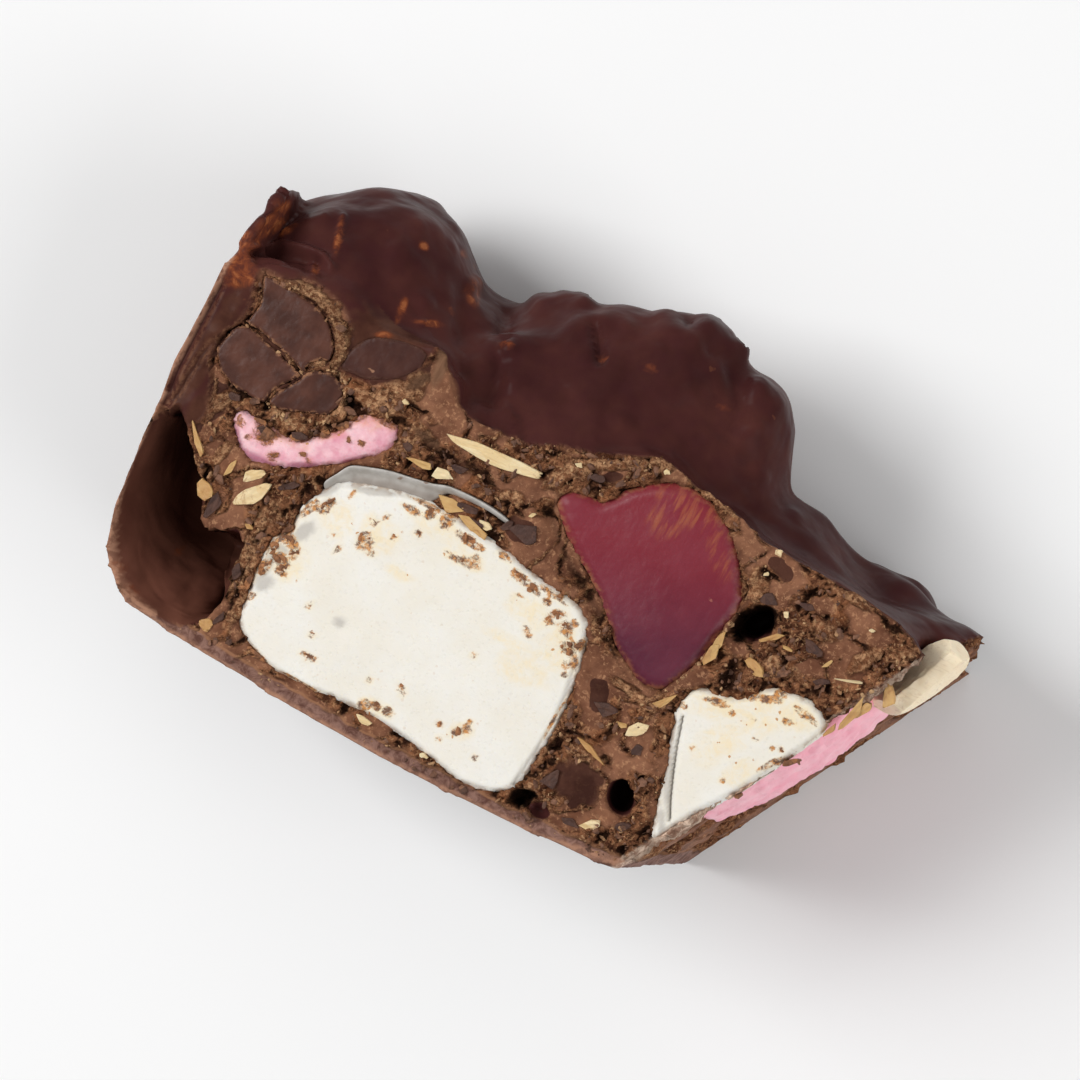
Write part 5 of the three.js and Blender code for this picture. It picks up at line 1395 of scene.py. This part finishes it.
crumbs = {
    "stretch": ((0.8, 1.9), (0.5, 1.0), (0.4, 0.9)),  # least and most, along each axis
    "turns": ((-0.5, 0.5), (-0.5, 0.5), (0, 6.28)),
    "around": ((0, 0), (0.6, 0), (-0.6, 0), (0, 0.6), (0, -0.6)),  # where the face has to go on beside one
    "kinds": [  # name, how many, least and most size, material tones, slot
        ("darkCrumbs", 520, 0.10, 0.50, tone(84, 54, 40), tone(140, 96, 70), "chocolate"),
        ("tanCrumbs", 380, 0.06, 0.28, tone(150, 104, 68), tone(206, 164, 118), "nut"),
    ],
    "rims": [  # along these lines they lie close together: path, half width, how many
        (chocolate["ledge"], 0.3, 24), ([(-31.8, 8.5), (-29.2, 8.1), (-27.6, 7.7), (-25.3, 7.1)], 0.1, 16),
        ([(-24.9, 8.7), (-23.0, 8.6), (-21.3, 8.2), (-20.8, 6.8)], 0.2, 24),
        ([(-26.9, 3.0), (-24.8, 2.8), (-22.6, 3.6), (-21.2, 4.8)], 0.4, 40),
        ([(18.9, 7.0), (18.6, 4.0), (17.6, 0.4), (16.4, -2.3)], 0.15, 40),
    ],
}


def crumbMaterial(name, first, second):
    material, tree, shader, spot = newMaterial(name)
    each = channels(tree, cellsAt(tree, spot, 1.4).outputs["Color"])[0]
    colour = mixed(tree, each, first, second)
    colour = mixed(tree, times(tree, mottled(tree, spot, 0.3, 0.2), 0.4), colour, tone(58, 34, 22))
    grain = placed(tree, crumbGrain, Vector=spot, Size=0.2, Height=0.05)["Height"]
    finishLook(tree, shader, colour, 0.7, grain, 0.8)
    return material


def crumbTemplates(count):
    shapes = []
    for _ in range(count):
        bm = bmesh.new()
        bmesh.ops.create_icosphere(bm, subdivisions=1, radius=1)
        for vert in bm.verts:
            vert.co *= dice.uniform(0.6, 1.35)
        shapes.append(meshOf("crumb", bm))
    return shapes


def strew(places, sizes, sink=0.35):  # one mesh of crumbs, each turned and sized at random
    bm = bmesh.new()
    for x, y, z in places:
        shape = dice.choice(templates).copy()
        size = sizes[0] + (sizes[1] - sizes[0]) * dice.random() ** 3
        stretch = [size * dice.uniform(least, most) for least, most in crumbs["stretch"]]
        spin = Euler([dice.uniform(least, most) for least, most in crumbs["turns"]]).to_matrix().to_4x4()
        lift = Vector((x, y, z + size * (0.5 - sink)))
        shape.transform(Matrix.Translation(lift) @ spin @ Matrix.Diagonal(stretch).to_4x4())
        bm.from_mesh(shape)
        bpy.data.meshes.remove(shape)
    makeGritty(bm, lambda face: True)
    return bm


def facePlaces(count):  # random places on the chocolate's cut face, more of them where it crumbled
    found = []
    while len(found) < count:
        x, y = dice.uniform(-36, 36), dice.uniform(-20, 17)
        point = Vector((x, y, plan["face"]))
        if depths["glossy"](point) > -0.2 or crumbliness(point) < dice.uniform(0.2, 1.0):
            continue
        if all(faceAt(x + right, y + up) for right, up in crumbs["around"]):
            found.append((x, y, faceAt(x, y)))
    return found


def rimPlaces():
    found = []
    for path, reach, count in crumbs["rims"]:
        for _ in range(count):
            number = dice.randrange(len(path) - 1)
            spot = Vector(path[number]).lerp(Vector(path[number + 1]), dice.random())
            x, y = spot.x + dice.uniform(-reach, reach), spot.y + dice.uniform(-reach, reach)
            found.append((x, y, faceAt(x, y) or plan["face"] - 0.15))
    return found


def smearPlaces():  # a few crumbs in each smear that has any
    found = []
    for x, y, long, wide, turned, high in smears:
        count = int(1 + long * wide * 9) if high else int(long * wide * 4)
        spin = Matrix.Rotation(math.radians(turned), 2)
        for _ in range(count):
            off = spin @ Vector((dice.gauss(0, long * 0.5), dice.gauss(0, wide * 0.5)))
            found.append((x + off.x, y + off.y, plan["face"] + 0.08))
    return found


dice = random.Random(7)
templates = crumbTemplates(12)
for name, count, least, most, first, second, slotName in crumbs["kinds"]:
    places = facePlaces(count) + (rimPlaces() if name == "tanCrumbs" else [])
    finishPiece(name, strew(places, (least, most)), crumbMaterial(name, first, second), slotName)
rubbed = crumbMaterial("rubbedCrumbs", tone(120, 78, 52), tone(186, 124, 76))
onMarshmallow = strew(smearPlaces(), (0.06, 0.40), 0.5)
lumps = [(x, y, long * 0.7, wide * 0.9, turned) for x, y, long, wide, turned, high in smears if high]
append(onMarshmallow, flakeMesh(lumps, 0.1, 0.1))
finishPiece("marshmallowCrumbs", onMarshmallow, rubbed, "chocolate")
brokenOff = crumbMaterial("brokenChocolate", tone(64, 37, 29), tone(90, 57, 43))
finishPiece("chocolateChips", flakeMesh(flakes["chips"]), brokenOff, "chocolate")

# Floor, light and camera


def metres(point):
    return (point + plan["shift"]) * 0.001


room = {  # in metres
    "floor": 2.5,  # half its width
    "brightness": 0.30,
    "lamps": [  # name, right, up and height along the picture, size, power
        ("keyLight", -0.65, 0.35, 0.72, 0.55, 8.4),
        ("fillLight", 0.75, -0.35, 0.55, 0.8, 4.8),
        ("backLight", 0.1, 0.95, 0.8, 0.8, 1.0),
    ],
}


def addFloor():
    bm = bmesh.new()
    bmesh.ops.create_grid(bm, x_segments=1, y_segments=1, size=room["floor"])
    floor = inScene("floor", meshOf("floor", bm))
    material, _, shader, _ = newMaterial("paleFloor")
    shader.inputs["Base Color"].default_value = tone(244, 244, 244)
    shader.inputs["Roughness"].default_value = 0.8
    floor.data.materials.append(material)


def addLight(name, right, up, height, size, power):
    lamp = bpy.data.lights.new(name, "AREA")
    lamp.shape = "SQUARE"
    lamp.size = size
    lamp.energy = power
    holder = inScene(name, lamp)
    spot = metres(camera["aim"]) + pictureRight * right + pictureUp * up + Vector((0, 0, height))
    holder.location = spot
    holder.rotation_euler = (metres(camera["aim"]) - spot).to_track_quat("-Z", "Y").to_euler()


addFloor()
for lamp in room["lamps"]:
    addLight(*lamp)
world = bpy.data.worlds.new("softRoom")
scene.world = world
world.use_nodes = True
background = world.node_tree.nodes["Background"].inputs
background["Color"].default_value = evenGrey(1)
background["Strength"].default_value = room["brightness"]

lens = bpy.data.cameras.new("camera")
lens.sensor_width = 36
lens.lens = lens.sensor_width * camera["distance"] / camera["width"]
lens.clip_start = 0.01
viewer = inScene("camera", lens)
sideways = pictureUp.cross(towardsCamera).normalized()
upwards = towardsCamera.cross(sideways)
stand = Matrix((sideways, upwards, towardsCamera)).transposed().to_4x4()
stand.translation = metres(cameraSpot)
viewer.matrix_world = stand
scene.camera = viewer
scene.view_settings.view_transform = "Standard"
say("floor, light and camera")
